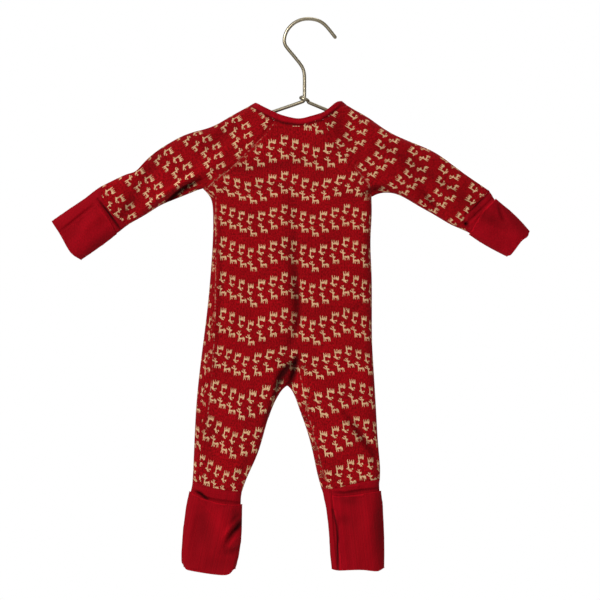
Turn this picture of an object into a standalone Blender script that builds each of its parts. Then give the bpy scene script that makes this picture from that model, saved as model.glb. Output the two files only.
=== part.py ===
# A baby's romper pyjama in rib knit, hung flat on a wire hanger and seen from its back.
# Everything is worked out in millimetres and made in metres. +Z is up, the romper's back
# faces -Y, and the origin is the top of the space inside the hanger's hook.
import math
from collections import namedtuple

import bpy
import bmesh
import numpy as np

MM = 0.001

for obj in list(bpy.data.objects):
    bpy.data.objects.remove(obj, do_unlink=True)
collection = bpy.data.collections.new("onesie_pajama")
bpy.context.scene.collection.children.link(collection)

# Cloth, millimetres
bodyWall = 1.2          # rib knit
cuffWall = 1.4          # plain jersey, doubled
bandWall = 1.8          # neck binding
seamGap = 0.3           # between two pieces sewn edge to edge
lapGap = 0.5            # under a piece that lies on another
bandWidth = 6.7
bandTaper = 0.08        # the part of its length over which the band's seam runs out to each shoulder tip
rollReach = 10.0        # how far in from a fold line the cloth turns from edge to face
foldTolerance = 0.12    # places this near a fold line are on it
sharpest = 0.2          # keeps the drawing-in of a sharp corner short
placketWidth = 17.0
placketEndZ = -372.0
placketRows = 24
topSnapZ, lowSnapZ = -149.0, -362.0
snapCount = 7
snapRadius = 4.6
snapHeight = 1.7

# Half the depth of the hung romper, front to back
Fullness = namedtuple("Fullness", "body wrist ankle")
fullness = Fullness(body=12.5, wrist=7.0, ankle=7.5)

# Fold lines of the trunk and legs, seen from the back
Side = namedtuple("Side", "z left right")
bodySections = [
    Side(-199.7, -106.9, 72.8),
    Side(-217.7, -105.8, 73.1),
    Side(-250.0, -106.3, 71.4),
    Side(-289.7, -109.1, 73.0),
    Side(-325.7, -112.5, 73.1),
    Side(-361.7, -117.0, 73.3),
    Side(-397.7, -121.5, 75.4),
    Side(-433.7, -124.9, 77.6),
    Side(-469.7, -126.8, 79.6),
    Side(-505.7, -128.3, 82.6),
    Side(-523.7, -129.6, 81.4),
    Side(-541.7, -133.9, 83.4),
    Side(-577.7, -138.4, 85.3),
    Side(-609.0, -140.4, 85.6),
    Side(-616.5, -139.9, 85.4),
]
crotchPoint = (-22.5, -411.2)
legSections = [         # the legs' inner fold lines
    Side(-415.7, -28.3, -17.8),
    Side(-424.7, -33.8, -13.5),
    Side(-433.7, -38.3, -10.1),
    Side(-451.7, -45.0, -3.4),
    Side(-469.7, -49.8, 2.3),
    Side(-487.7, -55.4, 6.8),
    Side(-505.7, -63.6, 10.3),
    Side(-519.0, -69.6, 13.6),
    Side(-532.7, -73.6, 18.0),
    Side(-550.7, -74.4, 21.6),
    Side(-577.7, -75.0, 24.6),
    Side(-603.6, -78.4, 25.9),
    Side(-617.0, -82.0, 27.6),
]

# Sleeves and their cuffs: the fold line on top, and the one below
Sleeve = namedtuple("Sleeve", "top_x top_z low_x low_z")
wristRow = 9
leftSleeve = [
    Sleeve(-65.3, -96.2, -117.6, -189.0),
    Sleeve(-90.0, -109.7, -122.4, -190.2),
    Sleeve(-106.0, -119.6, -133.0, -194.8),
    Sleeve(-119.4, -123.0, -145.1, -199.7),
    Sleeve(-137.3, -127.9, -156.4, -204.2),
    Sleeve(-158.1, -139.4, -167.6, -209.4),
    Sleeve(-173.5, -149.5, -180.0, -217.7),
    Sleeve(-188.4, -163.7, -195.8, -226.7),
    Sleeve(-204.0, -172.7, -204.0, -231.6),
    Sleeve(-232.5, -186.8, -212.0, -236.8),
    Sleeve(-249.8, -199.7, -221.6, -244.7),
    Sleeve(-270.0, -213.2, -240.0, -258.0),
    Sleeve(-287.4, -225.6, -255.6, -268.6),
]
rightSleeve = [
    Sleeve(45.0, -95.1, 72.6, -198.6),
    Sleeve(54.0, -100.7, 78.8, -195.2),
    Sleeve(70.9, -109.7, 88.3, -193.7),
    Sleeve(82.1, -118.7, 98.3, -194.6),
    Sleeve(96.8, -127.7, 109.8, -199.5),
    Sleeve(117.0, -136.5, 124.9, -208.7),
    Sleeve(140.6, -146.0, 141.8, -218.0),
    Sleeve(154.1, -154.7, 151.0, -223.6),
    Sleeve(177.8, -172.7, 163.0, -230.6),
    Sleeve(204.8, -191.3, 178.9, -237.2),
    Sleeve(210.6, -200.8, 190.1, -244.7),
    Sleeve(230.6, -217.7, 204.8, -253.7),
    Sleeve(248.8, -236.6, 226.2, -264.8),
]

# Neck opening, tip to tip
Neck = namedtuple("Neck", "x back_z front_z")
neckSections = [
    Neck(-58.5, -91.7, -91.7),
    Neck(-43.9, -100.7, -112.0),
    Neck(-28.0, -107.0, -122.8),
    Neck(-10.0, -110.8, -127.0),
    Neck(4.0, -107.6, -123.0),
    Neck(16.9, -100.7, -114.0),
    Neck(31.6, -92.4, -98.5),
    Neck(39.4, -89.8, -89.8),
]

# Raglan seams, from the neck down to the underarm
Seam = namedtuple("Seam", "x z")
raglans = {
    ("left", "back"): [Seam(-36.5, -112.6), Seam(-57.9, -140.1), Seam(-78.1, -159.8),
                       Seam(-101.3, -179.4)],
    ("right", "back"): [Seam(16.9, -108.0), Seam(32.3, -140.1), Seam(56.7, -169.9), Seam(69.3, -184.6)],
    ("left", "front"): [Seam(-46.0, -118.0), Seam(-62.0, -145.0), Seam(-80.0, -163.0),
                        Seam(-101.0, -180.5)],
    ("right", "front"): [Seam(25.0, -113.0), Seam(38.5, -146.0), Seam(58.0, -172.0), Seam(69.3, -185.0)],
}

# The left side seam lies on the back, this far in from the fold line
Inset = namedtuple("Inset", "z inset")
leftSeamInset = [
    Inset(-192.0, 1.6),
    Inset(-214.0, 4.6),
    Inset(-300.0, 6.6),
    Inset(-362.0, 8.0),
    Inset(-516.0, 7.6),
]

# The gusset's edges, from the left leg over its peak to the right leg
gussetBack = [Seam(-43.6, -447.0), Seam(-35.6, -418.0), Seam(-12.4, -385.2), Seam(0.5, -395.0),
              Seam(4.0, -416.8), Seam(0.0, -429.0), Seam(-1.1, -441.6)]
gussetFront = [Seam(-43.6, -447.0), Seam(-36.0, -418.0), Seam(-16.0, -385.2), Seam(-1.0, -400.0),
               Seam(1.6, -418.0), Seam(-1.6, -431.0), Seam(-6.6, -443.0)]
rightInseam = [Seam(-1.1, -441.6), Seam(6.8, -461.8), Seam(12.2, -483.0), Seam(20.3, -516.9),
               Seam(21.6, -526.6)]
# Rows of the panels: where the sleeves, the crotch and the knees come
armpitRowZ = -193.0
crotchRowZ = -385.2
kneeRowZ = -443.0
ankleSeams = {
    "left": [Seam(-129.1, -516.4), Seam(-115.4, -522.6), Seam(-93.8, -527.6), Seam(-73.0, -529.8)],
    "right": [Seam(82.0, -515.6), Seam(52.4, -520.8), Seam(33.4, -525.5), Seam(16.2, -526.7)],
}
ankleEnds = {
    "left": [Seam(-139.9, -616.5), Seam(-124.0, -619.6), Seam(-102.4, -622.8), Seam(-89.0, -622.9),
             Seam(-82.0, -617.0)],
    "right": [Seam(85.4, -616.5), Seam(78.2, -619.2), Seam(60.8, -617.4), Seam(36.0, -618.2),
              Seam(27.6, -617.0)],
}
wristSeams = {
    "left": [Seam(-232.5, -186.8), Seam(-228.9, -201.0), Seam(-212.0, -236.8)],
    "right": [Seam(204.8, -191.3), Seam(188.6, -208.6), Seam(174.6, -225.4), Seam(178.9, -237.2)],
}
wristEnds = {
    "left": [Seam(-287.4, -225.6), Seam(-277.6, -240.4), Seam(-266.0, -260.6), Seam(-255.6, -268.6)],
    "right": [Seam(248.8, -236.6), Seam(237.6, -252.6), Seam(229.6, -263.0), Seam(226.2, -264.8)],
}
# Turned-back flaps: the free edge across the cuff, from fold line to fold line
flapEdges = {
    ("wrist", "left"): [Seam(-214.4, -238.9), Seam(-226.0, -216.0), Seam(-235.6, -206.2),
                        Seam(-241.0, -193.4)],
    ("wrist", "right"): [Seam(182.4, -239.6), Seam(196.0, -216.6), Seam(211.0, -201.2)],
    ("ankle", "left"): [Seam(-130.9, -529.4), Seam(-113.6, -538.0), Seam(-90.5, -543.2), Seam(-74.2, -543.6)],
    ("ankle", "right"): [Seam(82.0, -528.6), Seam(52.4, -532.7), Seam(33.4, -534.6), Seam(27.4, -532.4),
                         Seam(17.8, -531.5)],
}
# A flap whose side edge lies in from the fold line: that edge, from the free edge to the cuff's end
flapSides = {
    ("wrist", "left"): [Seam(-235.6, -206.2), Seam(-277.6, -240.4)],
    ("ankle", "right"): [Seam(27.4, -532.4), Seam(30.8, -556.0), Seam(34.3, -577.7), Seam(36.0, -618.2)],
}

# The largest folds: a soft ridge (+) or trough (-) from one end to the other
Fold = namedtuple("Fold", "face x1 z1 x2 z2 half_width rise")
folds = [
    Fold("back", -112.0, -171.5, -160.0, -203.5, 4.6, -4.4),
    Fold("back", -108.0, -163.0, -178.0, -208.0, 6.0, 2.4),
    Fold("back", -176.0, -168.0, -199.0, -184.0, 8.0, -2.0),
    Fold("back", -192.0, -199.0, -211.0, -227.0, 6.5, -2.4),
    Fold("back", 128.0, -190.0, 147.0, -211.0, 5.5, -2.6),
    Fold("back", 78.0, -183.0, 100.0, -176.0, 8.0, -2.6),
    Fold("back", 44.0, -449.0, 76.0, -486.0, 6.0, -3.0),
    Fold("back", 50.0, -438.0, 80.0, -470.0, 7.0, 1.6),
    Fold("back", -10.0, -232.0, -8.0, -372.0, 5.0, 0.9),
    Fold("back", -14.0, -392.0, -20.0, -404.0, 7.0, -4.0),
    Fold("front", -108.0, -168.0, -162.0, -200.0, 6.0, -3.0),
    Fold("front", 72.0, -182.0, 128.0, -200.0, 6.5, -2.8),
    Fold("front", -60.0, -424.0, -104.0, -470.0, 7.0, -2.2),
    Fold("front", 16.0, -430.0, 58.0, -476.0, 7.0, -2.2),
]

# Hanger
wireRadius = 1.6
hookCentre = (2.6, -27.4)
hookRadius = 29.0
hookStart, hookEnd = 18.0, 178.0        # degrees, from the tip over the top
shankX = -2.8
hookRings, cornerRings, collarRings = 15, 8, 16
armRoots = {"left": (-5.6, -91.8), "right": (3.6, -93.0)}
armEnds = {"left": (-158.0, -143.1), "right": (140.5, -150.0)}
cornerRadius = 4.0
# Down from the hook to the arms
shankLine = [(-24.0, -33.0), (-18.6, -38.4), (-11.0, -46.0), (-5.2, -53.4), (-2.8, -62.0), (-2.8, -72.0),
             (-2.8, -86.0), (-3.3, -90.0)]
collarRadius = 3.6      # of the turn that the wire's end takes round the shank
collarPitch = 5.0
collarTurns = 1.2


# ---- lines and patches in the plane of the hung romper ----

def smoothLine(points, steps=10):
    """A Catmull-Rom line through points, close enough to measure along."""
    p = np.array([tuple(q)[:2] for q in points], float)
    p = np.vstack([2 * p[0] - p[1], p, 2 * p[-1] - p[-2]])
    t = np.linspace(0, 1, steps, endpoint=False)[:, None]
    spans = []
    for a, b, c, d in zip(p, p[1:], p[2:], p[3:]):
        spans.append(0.5 * (2 * b + (c - a) * t + (2 * a - 5 * b + 4 * c - d) * t ** 2
                            + (3 * b - a - 3 * c + d) * t ** 3))
    return np.vstack(spans + [p[-2:-1]])


def along(line, fractions):
    """Points at the given fractions of a line's length."""
    reach = np.concatenate([[0], np.cumsum(np.hypot(*np.diff(line, axis=0).T))])
    f = np.asarray(fractions, float) * reach[-1]
    return np.stack([np.interp(f, reach, line[:, 0]), np.interp(f, reach, line[:, 1])], axis=-1)


def fractionAt(line, point):
    """How far along a line the place nearest to point is."""
    run = np.diff(line, axis=0)
    length = np.hypot(*run.T)
    offset = np.array(point)[:2] - line[:-1]
    t = np.clip((offset * run).sum(1) / np.maximum(length, 1e-9) ** 2, 0, 1)
    k = np.hypot(*(offset - t[:, None] * run).T).argmin()
    return (length[:k].sum() + t[k] * length[k]) / length.sum()


def nearest(line, point):
    return along(line, fractionAt(line, point))


def between(line, start, end, count=60):
    """The stretch of a line from one place on it to another."""
    stretch = along(line, np.linspace(fractionAt(line, start), fractionAt(line, end), count))
    stretch[0], stretch[-1] = tuple(start)[:2], tuple(end)[:2]
    return stretch


def straight(start, end):
    return np.array([tuple(start)[:2], tuple(end)[:2]], float)


def joined(*lines):
    return np.vstack([lines[0]] + [line[1:] for line in lines[1:]])


def offsetLine(line, distance):
    """A line moved sideways, to the right of its own direction when distance is positive."""
    run = np.gradient(line, axis=0)
    run /= np.hypot(*run.T)[:, None]
    return line + distance * np.column_stack([run[:, 1], -run[:, 0]])


def coons(top, bottom, left, right, across, down):
    """A patch between four lines that meet at their ends: rows of points, top to bottom."""
    across = np.broadcast_to(across, (len(down), np.shape(across)[-1]))
    a, v = across[..., None], np.asarray(down)[:, None, None]
    sides = (1 - a) * along(left, down)[:, None] + a * along(right, down)[:, None]
    ends = (1 - v) * along(top, across) + v * along(bottom, across)
    corners = ((1 - v) * ((1 - a) * top[0] + a * top[-1]) + v * ((1 - a) * bottom[0] + a * bottom[-1]))
    return sides + ends - corners


def even(count):
    return np.linspace(0, 1, count + 1)


def closeToEnd(count):
    """Fractions that crowd towards 1, where the cloth rolls over a fold line."""
    return np.sin(even(count) * math.pi / 2)


def closeToStart(count):
    return 1 - closeToEnd(count)[::-1]


def rampRows(first, last, rows):
    """One row of fractions turning into another, a row at a time."""
    w = np.linspace(0, 1, rows + 1)[:, None]
    return (1 - w) * first + w * last


# ---- the outline: lines with the cloth on their left ----

def sleeveLines(rows):
    top = smoothLine([(r.top_x, r.top_z) for r in rows])
    low = smoothLine([(r.low_x, r.low_z) for r in rows])
    return top, low


leftTop, leftLow = sleeveLines(leftSleeve)
rightTop, rightLow = sleeveLines(rightSleeve)
leftTip, rightTip = np.array(neckSections[0][:2]), np.array(neckSections[-1][:2])
leftFold = smoothLine([leftLow[0], (-112.2, -192.4)] + [(s.left, s.z) for s in bodySections])
rightFold = smoothLine([rightLow[0]] + [(s.right, s.z) for s in bodySections[1:]])
innerFold = smoothLine([(s.left, s.z) for s in reversed(legSections)] + [crotchPoint]
                       + [(s.right, s.z) for s in legSections])
outline = [
    joined(np.array([leftTip, leftTop[0]]), leftTop),
    joined(leftLow[::-1], leftFold),
    innerFold,
    joined(rightFold[::-1], rightLow),
    joined(rightTop[::-1], np.array([rightTop[0], rightTip])),
]


def edgeDistance(xz):
    """Distance from the nearest fold line, and the direction from there into the cloth."""
    best = np.full(len(xz), 1e9)
    inward = np.zeros((len(xz), 2))
    for line in outline:
        start, run = line[:-1], np.diff(line, axis=0)
        length = np.hypot(*run.T)
        normal = np.column_stack([-run[:, 1], run[:, 0]]) / length[:, None]
        corner = np.vstack([normal[:1], normal[:-1] + normal[1:], normal[-1:]])
        corner /= np.hypot(*corner.T)[:, None]
        offset = xz[:, None] - start[None]
        t = np.clip((offset * run).sum(-1) / length ** 2, 0, 1)
        away = offset - t[..., None] * run
        gap = np.hypot(away[..., 0], away[..., 1])
        k = gap.argmin(axis=1)
        rows = np.arange(len(xz))
        t, away, gap = t[rows, k], away[rows, k], gap[rows, k]
        edge = (1 - t)[:, None] * corner[k] + t[:, None] * corner[k + 1]
        edge /= np.hypot(*edge.T)[:, None]
        onFold = (gap < foldTolerance) | ((away * edge).sum(-1) <= 0)
        direction = np.where(onFold[:, None], edge, away / np.maximum(gap, 1e-9)[:, None])
        nearer = gap < best
        inward[nearer] = direction[nearer]
        best[nearer] = np.where(onFold, 0, gap)[nearer]
    return best, inward


def smoothStep(x):
    x = np.clip(x, 0, 1)
    return x * x * (3 - 2 * x)


def depthAt(xz, face):
    """Half the depth of the cloth away from its fold lines, with the folds in it."""
    x, z = xz[:, 0], xz[:, 1]
    leg = smoothStep((-z - 385) / 150)
    arm = smoothStep((np.abs(x + 16) - 72) / 165) * (1 - leg)
    depth = fullness.body - (fullness.body - fullness.wrist) * arm - (fullness.body - fullness.ankle) * leg
    for fold in folds:
        if fold.face != face:
            continue
        a, b = np.array([fold.x1, fold.z1]), np.array([fold.x2, fold.z2])
        run = b - a
        t = ((xz - a) @ run) / (run @ run)
        near = a + np.clip(t, 0, 1)[:, None] * run
        away = np.hypot(*(xz - near).T)
        depth = depth + fold.rise * np.exp(-0.5 * (away / fold.half_width) ** 2)
    return depth


def liftCloth(xz, face):
    """Points of the cloth over places in the plane, and its outward directions there."""
    sign = -1 if face == "back" else 1
    gap, inward = edgeDistance(xz)
    reach = np.clip(gap / rollReach, 0, 1)
    rise = np.sqrt(1 - (1 - reach) ** 2)
    depth = depthAt(xz, face)
    step = 0.2
    slope = np.column_stack([
        (depthAt(xz + [step, 0], face) - depthAt(xz - [step, 0], face)) / (2 * step),
        (depthAt(xz + [0, step], face) - depthAt(xz - [0, step], face)) / (2 * step)])
    lean = (rise ** 2)[:, None] * slope + (depth * (1 - reach) / rollReach)[:, None] * inward
    normal = np.column_stack([-lean[:, 0], sign * rise, -lean[:, 1]])
    normal /= np.linalg.norm(normal, axis=1)[:, None]
    points = np.column_stack([xz[:, 0], sign * depth * rise, xz[:, 1]])
    return points, normal


# ---- cloth pieces ----

def material(name, colour, roughness, metallic=0.0):
    mat = bpy.data.materials.new(name)
    mat.use_nodes = True
    shader = mat.node_tree.nodes["Principled BSDF"]
    shader.inputs["Base Color"].default_value = (*colour, 1)
    shader.inputs["Roughness"].default_value = roughness
    shader.inputs["Metallic"].default_value = metallic
    return mat


def addObject(name, data, mat):
    obj = bpy.data.objects.new(name, data)
    data.materials.append(mat)
    collection.objects.link(obj)
    return obj


def clothPiece(name, patches, wall, mat, raised=0.0):
    """A closed wall over patches of the cloth, each (rows of places, face), welded where they meet.

    raised lifts the wall's inner side off the cloth below it."""
    index, points, normals, quads = {}, [], [], []
    for grid, face in patches:
        rows, columns = grid.shape[:2]
        p, n = liftCloth(grid.reshape(-1, 2), face)
        ids = []
        for point, normal in zip(p, n):
            key = tuple(np.round(point / 0.02).astype(int))
            near = [key] + [(key[0] + i, key[1] + j, key[2] + k)
                            for i in (-1, 0, 1) for j in (-1, 0, 1) for k in (-1, 0, 1)]
            found = next((index[k] for k in near if k in index), None)
            if found is None:
                found = index[key] = len(points)
                points.append(point)
                normals.append(normal)
            ids.append(found)
        ids = np.array(ids).reshape(rows, columns)
        for i in range(rows - 1):
            for j in range(columns - 1):
                quad = [ids[i, j], ids[i, j + 1], ids[i + 1, j + 1], ids[i + 1, j]]
                quad = list(dict.fromkeys(int(q) for q in quad))
                if len(quad) > 2:
                    quads.append(quad if face == "back" else quad[::-1])
    points, normals = np.array(points), np.array(normals)

    bm = bmesh.new()
    top = raised + wall if raised else 0.0
    outer = [bm.verts.new(p + top * n) for p, n in zip(points, normals)]
    inner = [bm.verts.new(p + (top - wall) * n) for p, n in zip(points, normals)]
    for quad in quads:
        bm.faces.new([outer[q] for q in quad])
    border = [edge for edge in bm.edges if edge.is_boundary]

    # each border is drawn in by half a seam's gap, twice as far where it turns over a fold line
    drawn = {}
    for edge in border:
        face = edge.link_faces[0]
        run = (edge.verts[1].co - edge.verts[0].co).normalized()
        into = face.calc_center_median() - edge.verts[0].co
        into = (into - into.dot(run) * run).normalized()
        for vert in edge.verts:
            drawn.setdefault(vert, []).append(into)
    number = {vert: i for i, vert in enumerate(outer)}
    for vert, moves in drawn.items():
        total = sum(moves[1:], moves[0])
        turned = 2 - abs(normals[number[vert]][1])
        total = total / max(total.dot(moves[0]), sharpest) * turned * seamGap / 2
        vert.co += total
        inner[number[vert]].co += total

    rims = [(edge.verts[0], edge.verts[1]) for edge in border]
    for quad in quads:
        bm.faces.new([inner[q] for q in reversed(quad)])
    for a, b in rims:
        bm.faces.new([a, b, inner[number[b]], inner[number[a]]])
    bmesh.ops.recalc_face_normals(bm, faces=bm.faces)
    bmesh.ops.translate(bm, vec=(-hookCentre[0], 0, 0), verts=bm.verts)
    bmesh.ops.scale(bm, vec=(MM, MM, MM), verts=bm.verts)
    mesh = bpy.data.meshes.new(name)
    bm.to_mesh(mesh)
    bm.free()
    mesh.shade_smooth()
    mesh.set_sharp_from_angle(angle=math.radians(50))
    return addObject(name, mesh, mat)


def neckLine(face):
    return smoothLine([(s.x, getattr(s, face + "_z")) for s in neckSections])


def neckSeam(face):
    """Where the band is sewn on: the neck edge moved out by the band's width."""
    line = offsetLine(neckLine(face), bandWidth)
    w = np.linspace(0, 1, len(line))[:, None]
    near = np.exp(-(w / bandTaper) ** 2), np.exp(-((1 - w) / bandTaper) ** 2)
    return line + near[0] * (leftTop[0] - line[0]) + near[1] * (rightTop[0] - line[-1])


def raglanLine(side, face):
    """From the neck seam down to the underarm."""
    rows = raglans[side, face]
    start = nearest(neckSeam(face), rows[0])
    end = (leftLow if side == "left" else rightLow)[0]
    return smoothLine([start] + list(rows[1:]) + [end])


def leftSeamLine():
    """The side seam on the back, from near the left underarm to the ankle."""
    line = leftFold[(leftFold[:, 1] < -193.5) & (leftFold[:, 1] > -513.0)]
    inset = np.interp(-line[:, 1], [-r.z for r in leftSeamInset], [r.inset for r in leftSeamInset])
    line = line + np.column_stack([inset, 0 * inset])
    start = along(raglanLine("left", "back"), seamStart)
    end = along(ankleLine("left"), seamEnd)
    return joined(np.array([start, line[0]]), line, np.array([line[-1], end]))


def pinned(rows, startLine, endLine):
    """A line through rows whose ends lie on two other lines."""
    return smoothLine([nearest(startLine, rows[0])] + list(rows[1:-1]) + [nearest(endLine, rows[-1])])


def gussetLine(face):
    """The gusset's edge on one face, from its tip on the left leg to its end on the right."""
    rows = gussetBack if face == "back" else gussetFront
    end = rows[-1] if face == "back" else nearest(innerFold, rows[-1])
    return smoothLine([nearest(innerFold, rows[0])] + rows[1:-1] + [end])


def ankleLine(side):
    return pinned(ankleSeams[side], leftFold if side == "left" else rightFold, innerFold)


def ankleEnd(side):
    return pinned(ankleEnds[side], leftFold if side == "left" else rightFold, innerFold)


def atHeight(line, z):
    """The point of a line at height z."""
    return line[np.argmin(np.abs(line[:, 1] - z))]


def columns(count, width, rollStart=False, rollEnd=False):
    """Fractions across a patch, with columns crowded where the cloth rolls over a fold line."""
    roll = rollReach * (1 - np.cos(np.linspace(0, math.pi / 2, rollColumns + 1))) / width
    start = roll[:-1] if rollStart else []
    end = (1 - roll[:-1])[::-1] if rollEnd else []
    low, high = (roll[-1] if rollStart else 0), (1 - roll[-1] if rollEnd else 1)
    middle = np.linspace(low, high, count + 1 - len(start) - len(end))
    return np.concatenate([start, middle, end])


def span(line):
    return np.hypot(*np.diff(line, axis=0).T).sum()


rollColumns = 4
seamStart, seamEnd = 0.975, 0.15        # the left side seam's ends on the raglan and the ankle
rowCounts = dict(yoke=11, trunk=14, thigh=6, shin=7, sleeve=14, cuffTop=2, flap=5)
backColumns, backLeftColumns = 21, 10
frontColumns = 10
stripColumns = 3
flapStripColumns = 5
ringColumns = 16
centreTop = Seam(-10.0, -133.7)         # the top of the front opening
frontApex, backApex = gussetFront[2], gussetBack[2]


def bodyLines():
    """The lines that divide the trunk and legs, by name, each running downwards or left to right."""
    lines = dict(neckBack=neckSeam("back"), neckFront=neckSeam("front"), leftSeam=leftSeamLine())
    for side in ("left", "right"):
        for face in ("back", "front"):
            lines[side + face] = raglanLine(side, face)
        lines[side + "Ankle"] = ankleLine(side)
    lines["centre"] = straight(nearest(lines["neckFront"], centreTop), frontApex)
    return lines


def seatedPatch(face, top, bottom, left, right, topColumns, bottomColumns, rows):
    """A patch of so many rows, or of rows at the given fractions."""
    down = even(rows) if isinstance(rows, int) else rows
    return coons(top, bottom, left, right, rampRows(topColumns, bottomColumns, len(down) - 1), down), face


def yokeRows(raglan):
    """Rows of the yoke, crowded towards the underarm."""
    return columns(rowCounts["yoke"], span(raglan), rollEnd=True)


def backPatches():
    n = bodyLines()
    seam, raglanRight = n["leftSeam"], n["rightback"]
    raglanLeft = between(n["leftback"], n["leftback"][0], seam[0])
    underarm = straight(seam[0], rightFold[0])
    apex, rf = np.array(backApex), atHeight(rightFold, crotchRowZ)
    seamCrotch, seamKnee = atHeight(seam, crotchRowZ), atHeight(seam, kneeRowZ)
    leftHalf, rightHalf = straight(seamCrotch, apex), straight(apex, rf)
    share = span(leftHalf) / (span(leftHalf) + span(rightHalf))
    rightColumns = backColumns - backLeftColumns
    crotch = np.concatenate([share * even(backLeftColumns),
                             share + (1 - share) * columns(rightColumns, span(rightHalf), rollEnd=True)[1:]])
    gusset = gussetLine("back")
    tip, junction = gusset[0], gusset[-1]
    inseam = smoothLine(rightInseam[:-1] + [nearest(n["rightAnkle"], rightInseam[-1])])
    rightAnkle = between(n["rightAnkle"], inseam[-1], n["rightAnkle"][0])
    kneeLeft = straight(seamKnee, tip)
    kneeRight = straight(junction, atHeight(rightFold, kneeRowZ))
    armColumns = columns(backColumns, span(underarm), rollEnd=True)
    kneeColumns = columns(backLeftColumns, span(kneeLeft), rollEnd=True)
    rightKneeColumns = columns(rightColumns, span(kneeRight), rollEnd=True)
    return [
        seatedPatch("back", between(n["neckBack"], raglanLeft[0], raglanRight[0]), underarm, raglanLeft,
                    raglanRight, even(backColumns), armColumns, yokeRows(raglanRight)),
        seatedPatch("back", underarm, joined(leftHalf, rightHalf), between(seam, seam[0], seamCrotch),
                    between(rightFold, rightFold[0], rf), armColumns, crotch, rowCounts["trunk"]),
        seatedPatch("back", leftHalf, kneeLeft, between(seam, seamCrotch, seamKnee),
                    between(gusset, apex, tip), even(backLeftColumns), kneeColumns, rowCounts["thigh"]),
        seatedPatch("back", kneeLeft, between(n["leftAnkle"], seam[-1], n["leftAnkle"][-1]),
                    between(seam, seamKnee, seam[-1]), between(innerFold, tip, n["leftAnkle"][-1]),
                    kneeColumns, kneeColumns, rowCounts["shin"]),
        seatedPatch("back", rightHalf, kneeRight, between(gusset, apex, junction),
                    between(rightFold, rf, kneeRight[-1]),
                    columns(rightColumns, span(rightHalf), rollEnd=True),
                    rightKneeColumns, rowCounts["thigh"]),
        seatedPatch("back", kneeRight, rightAnkle, inseam, between(rightFold, kneeRight[-1], rightAnkle[-1]),
                    rightKneeColumns, rightKneeColumns, rowCounts["shin"]),
    ]


def frontLeftPatches():
    n = bodyLines()
    centre, seam, raglan = n["centre"], n["leftSeam"], n["leftfront"]
    armpit = leftFold[0]
    centreArm = atHeight(along(centre, even(400)), armpitRowZ)
    apex, lf = np.array(frontApex), atHeight(leftFold, crotchRowZ)
    gusset = gussetLine("front")
    tip = gusset[0]
    knee = straight(atHeight(leftFold, kneeRowZ), tip)
    ankle = n["leftAnkle"]
    underarm, crotch = straight(armpit, centreArm), straight(lf, apex)
    armColumns = columns(frontColumns, span(underarm), rollStart=True)
    crotchColumns = columns(frontColumns, span(crotch), rollStart=True)
    kneeColumns = columns(frontColumns, span(knee), rollStart=True, rollEnd=True)
    trunkFold, thighFold = between(leftFold, armpit, lf), between(leftFold, lf, knee[0])
    shinFold = between(leftFold, knee[0], ankle[0])
    strip = closeToStart(stripColumns)
    seamCrotch, seamKnee = atHeight(seam, crotchRowZ), atHeight(seam, kneeRowZ)
    crotchStrip, kneeStrip = straight(lf, seamCrotch), straight(knee[0], seamKnee)
    return [
        seatedPatch("front", between(n["neckFront"], raglan[0], centre[0]), underarm, raglan,
                    straight(centre[0], centreArm), even(frontColumns), armColumns, yokeRows(raglan)),
        seatedPatch("front", underarm, crotch, trunkFold, straight(centreArm, apex),
                    armColumns, crotchColumns, rowCounts["trunk"]),
        seatedPatch("front", crotch, knee, thighFold, between(gusset, apex, tip),
                    crotchColumns, kneeColumns, rowCounts["thigh"]),
        seatedPatch("front", knee, ankle, shinFold, between(innerFold, tip, ankle[-1]),
                    kneeColumns, kneeColumns, rowCounts["shin"]),
        seatedPatch("back", between(n["leftback"], n["leftback"][-1], seam[0]), crotchStrip, trunkFold,
                    between(seam, seam[0], seamCrotch), strip, strip, rowCounts["trunk"]),
        seatedPatch("back", crotchStrip, kneeStrip, thighFold, between(seam, seamCrotch, seamKnee),
                    strip, strip, rowCounts["thigh"]),
        seatedPatch("back", kneeStrip, between(ankle, ankle[0], seam[-1]), shinFold,
                    between(seam, seamKnee, seam[-1]), strip, strip, rowCounts["shin"]),
    ]


def frontRightPatches():
    n = bodyLines()
    centre, raglan, ankle = n["centre"], n["rightfront"], n["rightAnkle"]
    armpit = rightFold[0]
    centreArm = atHeight(along(centre, even(400)), armpitRowZ)
    apex, rf = np.array(frontApex), atHeight(rightFold, crotchRowZ)
    fold = gussetLine("front")[-1]
    gusset = between(gussetLine("front"), apex, fold)
    knee = straight(fold, atHeight(rightFold, kneeRowZ))
    ankleUp = ankle[::-1]
    underarm, crotch = straight(centreArm, armpit), straight(apex, rf)
    armColumns = columns(frontColumns, span(underarm), rollEnd=True)
    crotchColumns = columns(frontColumns, span(crotch), rollEnd=True)
    kneeColumns = columns(frontColumns, span(knee), rollStart=True, rollEnd=True)
    shinFold = between(innerFold, fold, ankle[-1])
    inseamEnd = nearest(ankle, rightInseam[-1])
    inseam = smoothLine(rightInseam[:-1] + [inseamEnd])
    strip = closeToStart(stripColumns)
    return [
        seatedPatch("front", between(n["neckFront"], centre[0], raglan[0]), underarm,
                    straight(centre[0], centreArm), raglan, even(frontColumns), armColumns, yokeRows(raglan)),
        seatedPatch("front", underarm, crotch, straight(centreArm, apex), between(rightFold, armpit, rf),
                    armColumns, crotchColumns, rowCounts["trunk"]),
        seatedPatch("front", crotch, knee, gusset, between(rightFold, rf, knee[-1]),
                    crotchColumns, kneeColumns, rowCounts["thigh"]),
        seatedPatch("front", knee, ankleUp, shinFold, between(rightFold, knee[-1], ankle[0]),
                    kneeColumns, kneeColumns, rowCounts["shin"]),
        seatedPatch("back", straight(fold, inseam[0]), between(ankle, ankle[-1], inseamEnd), shinFold, inseam,
                    strip, strip, rowCounts["shin"]),
    ]


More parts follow.
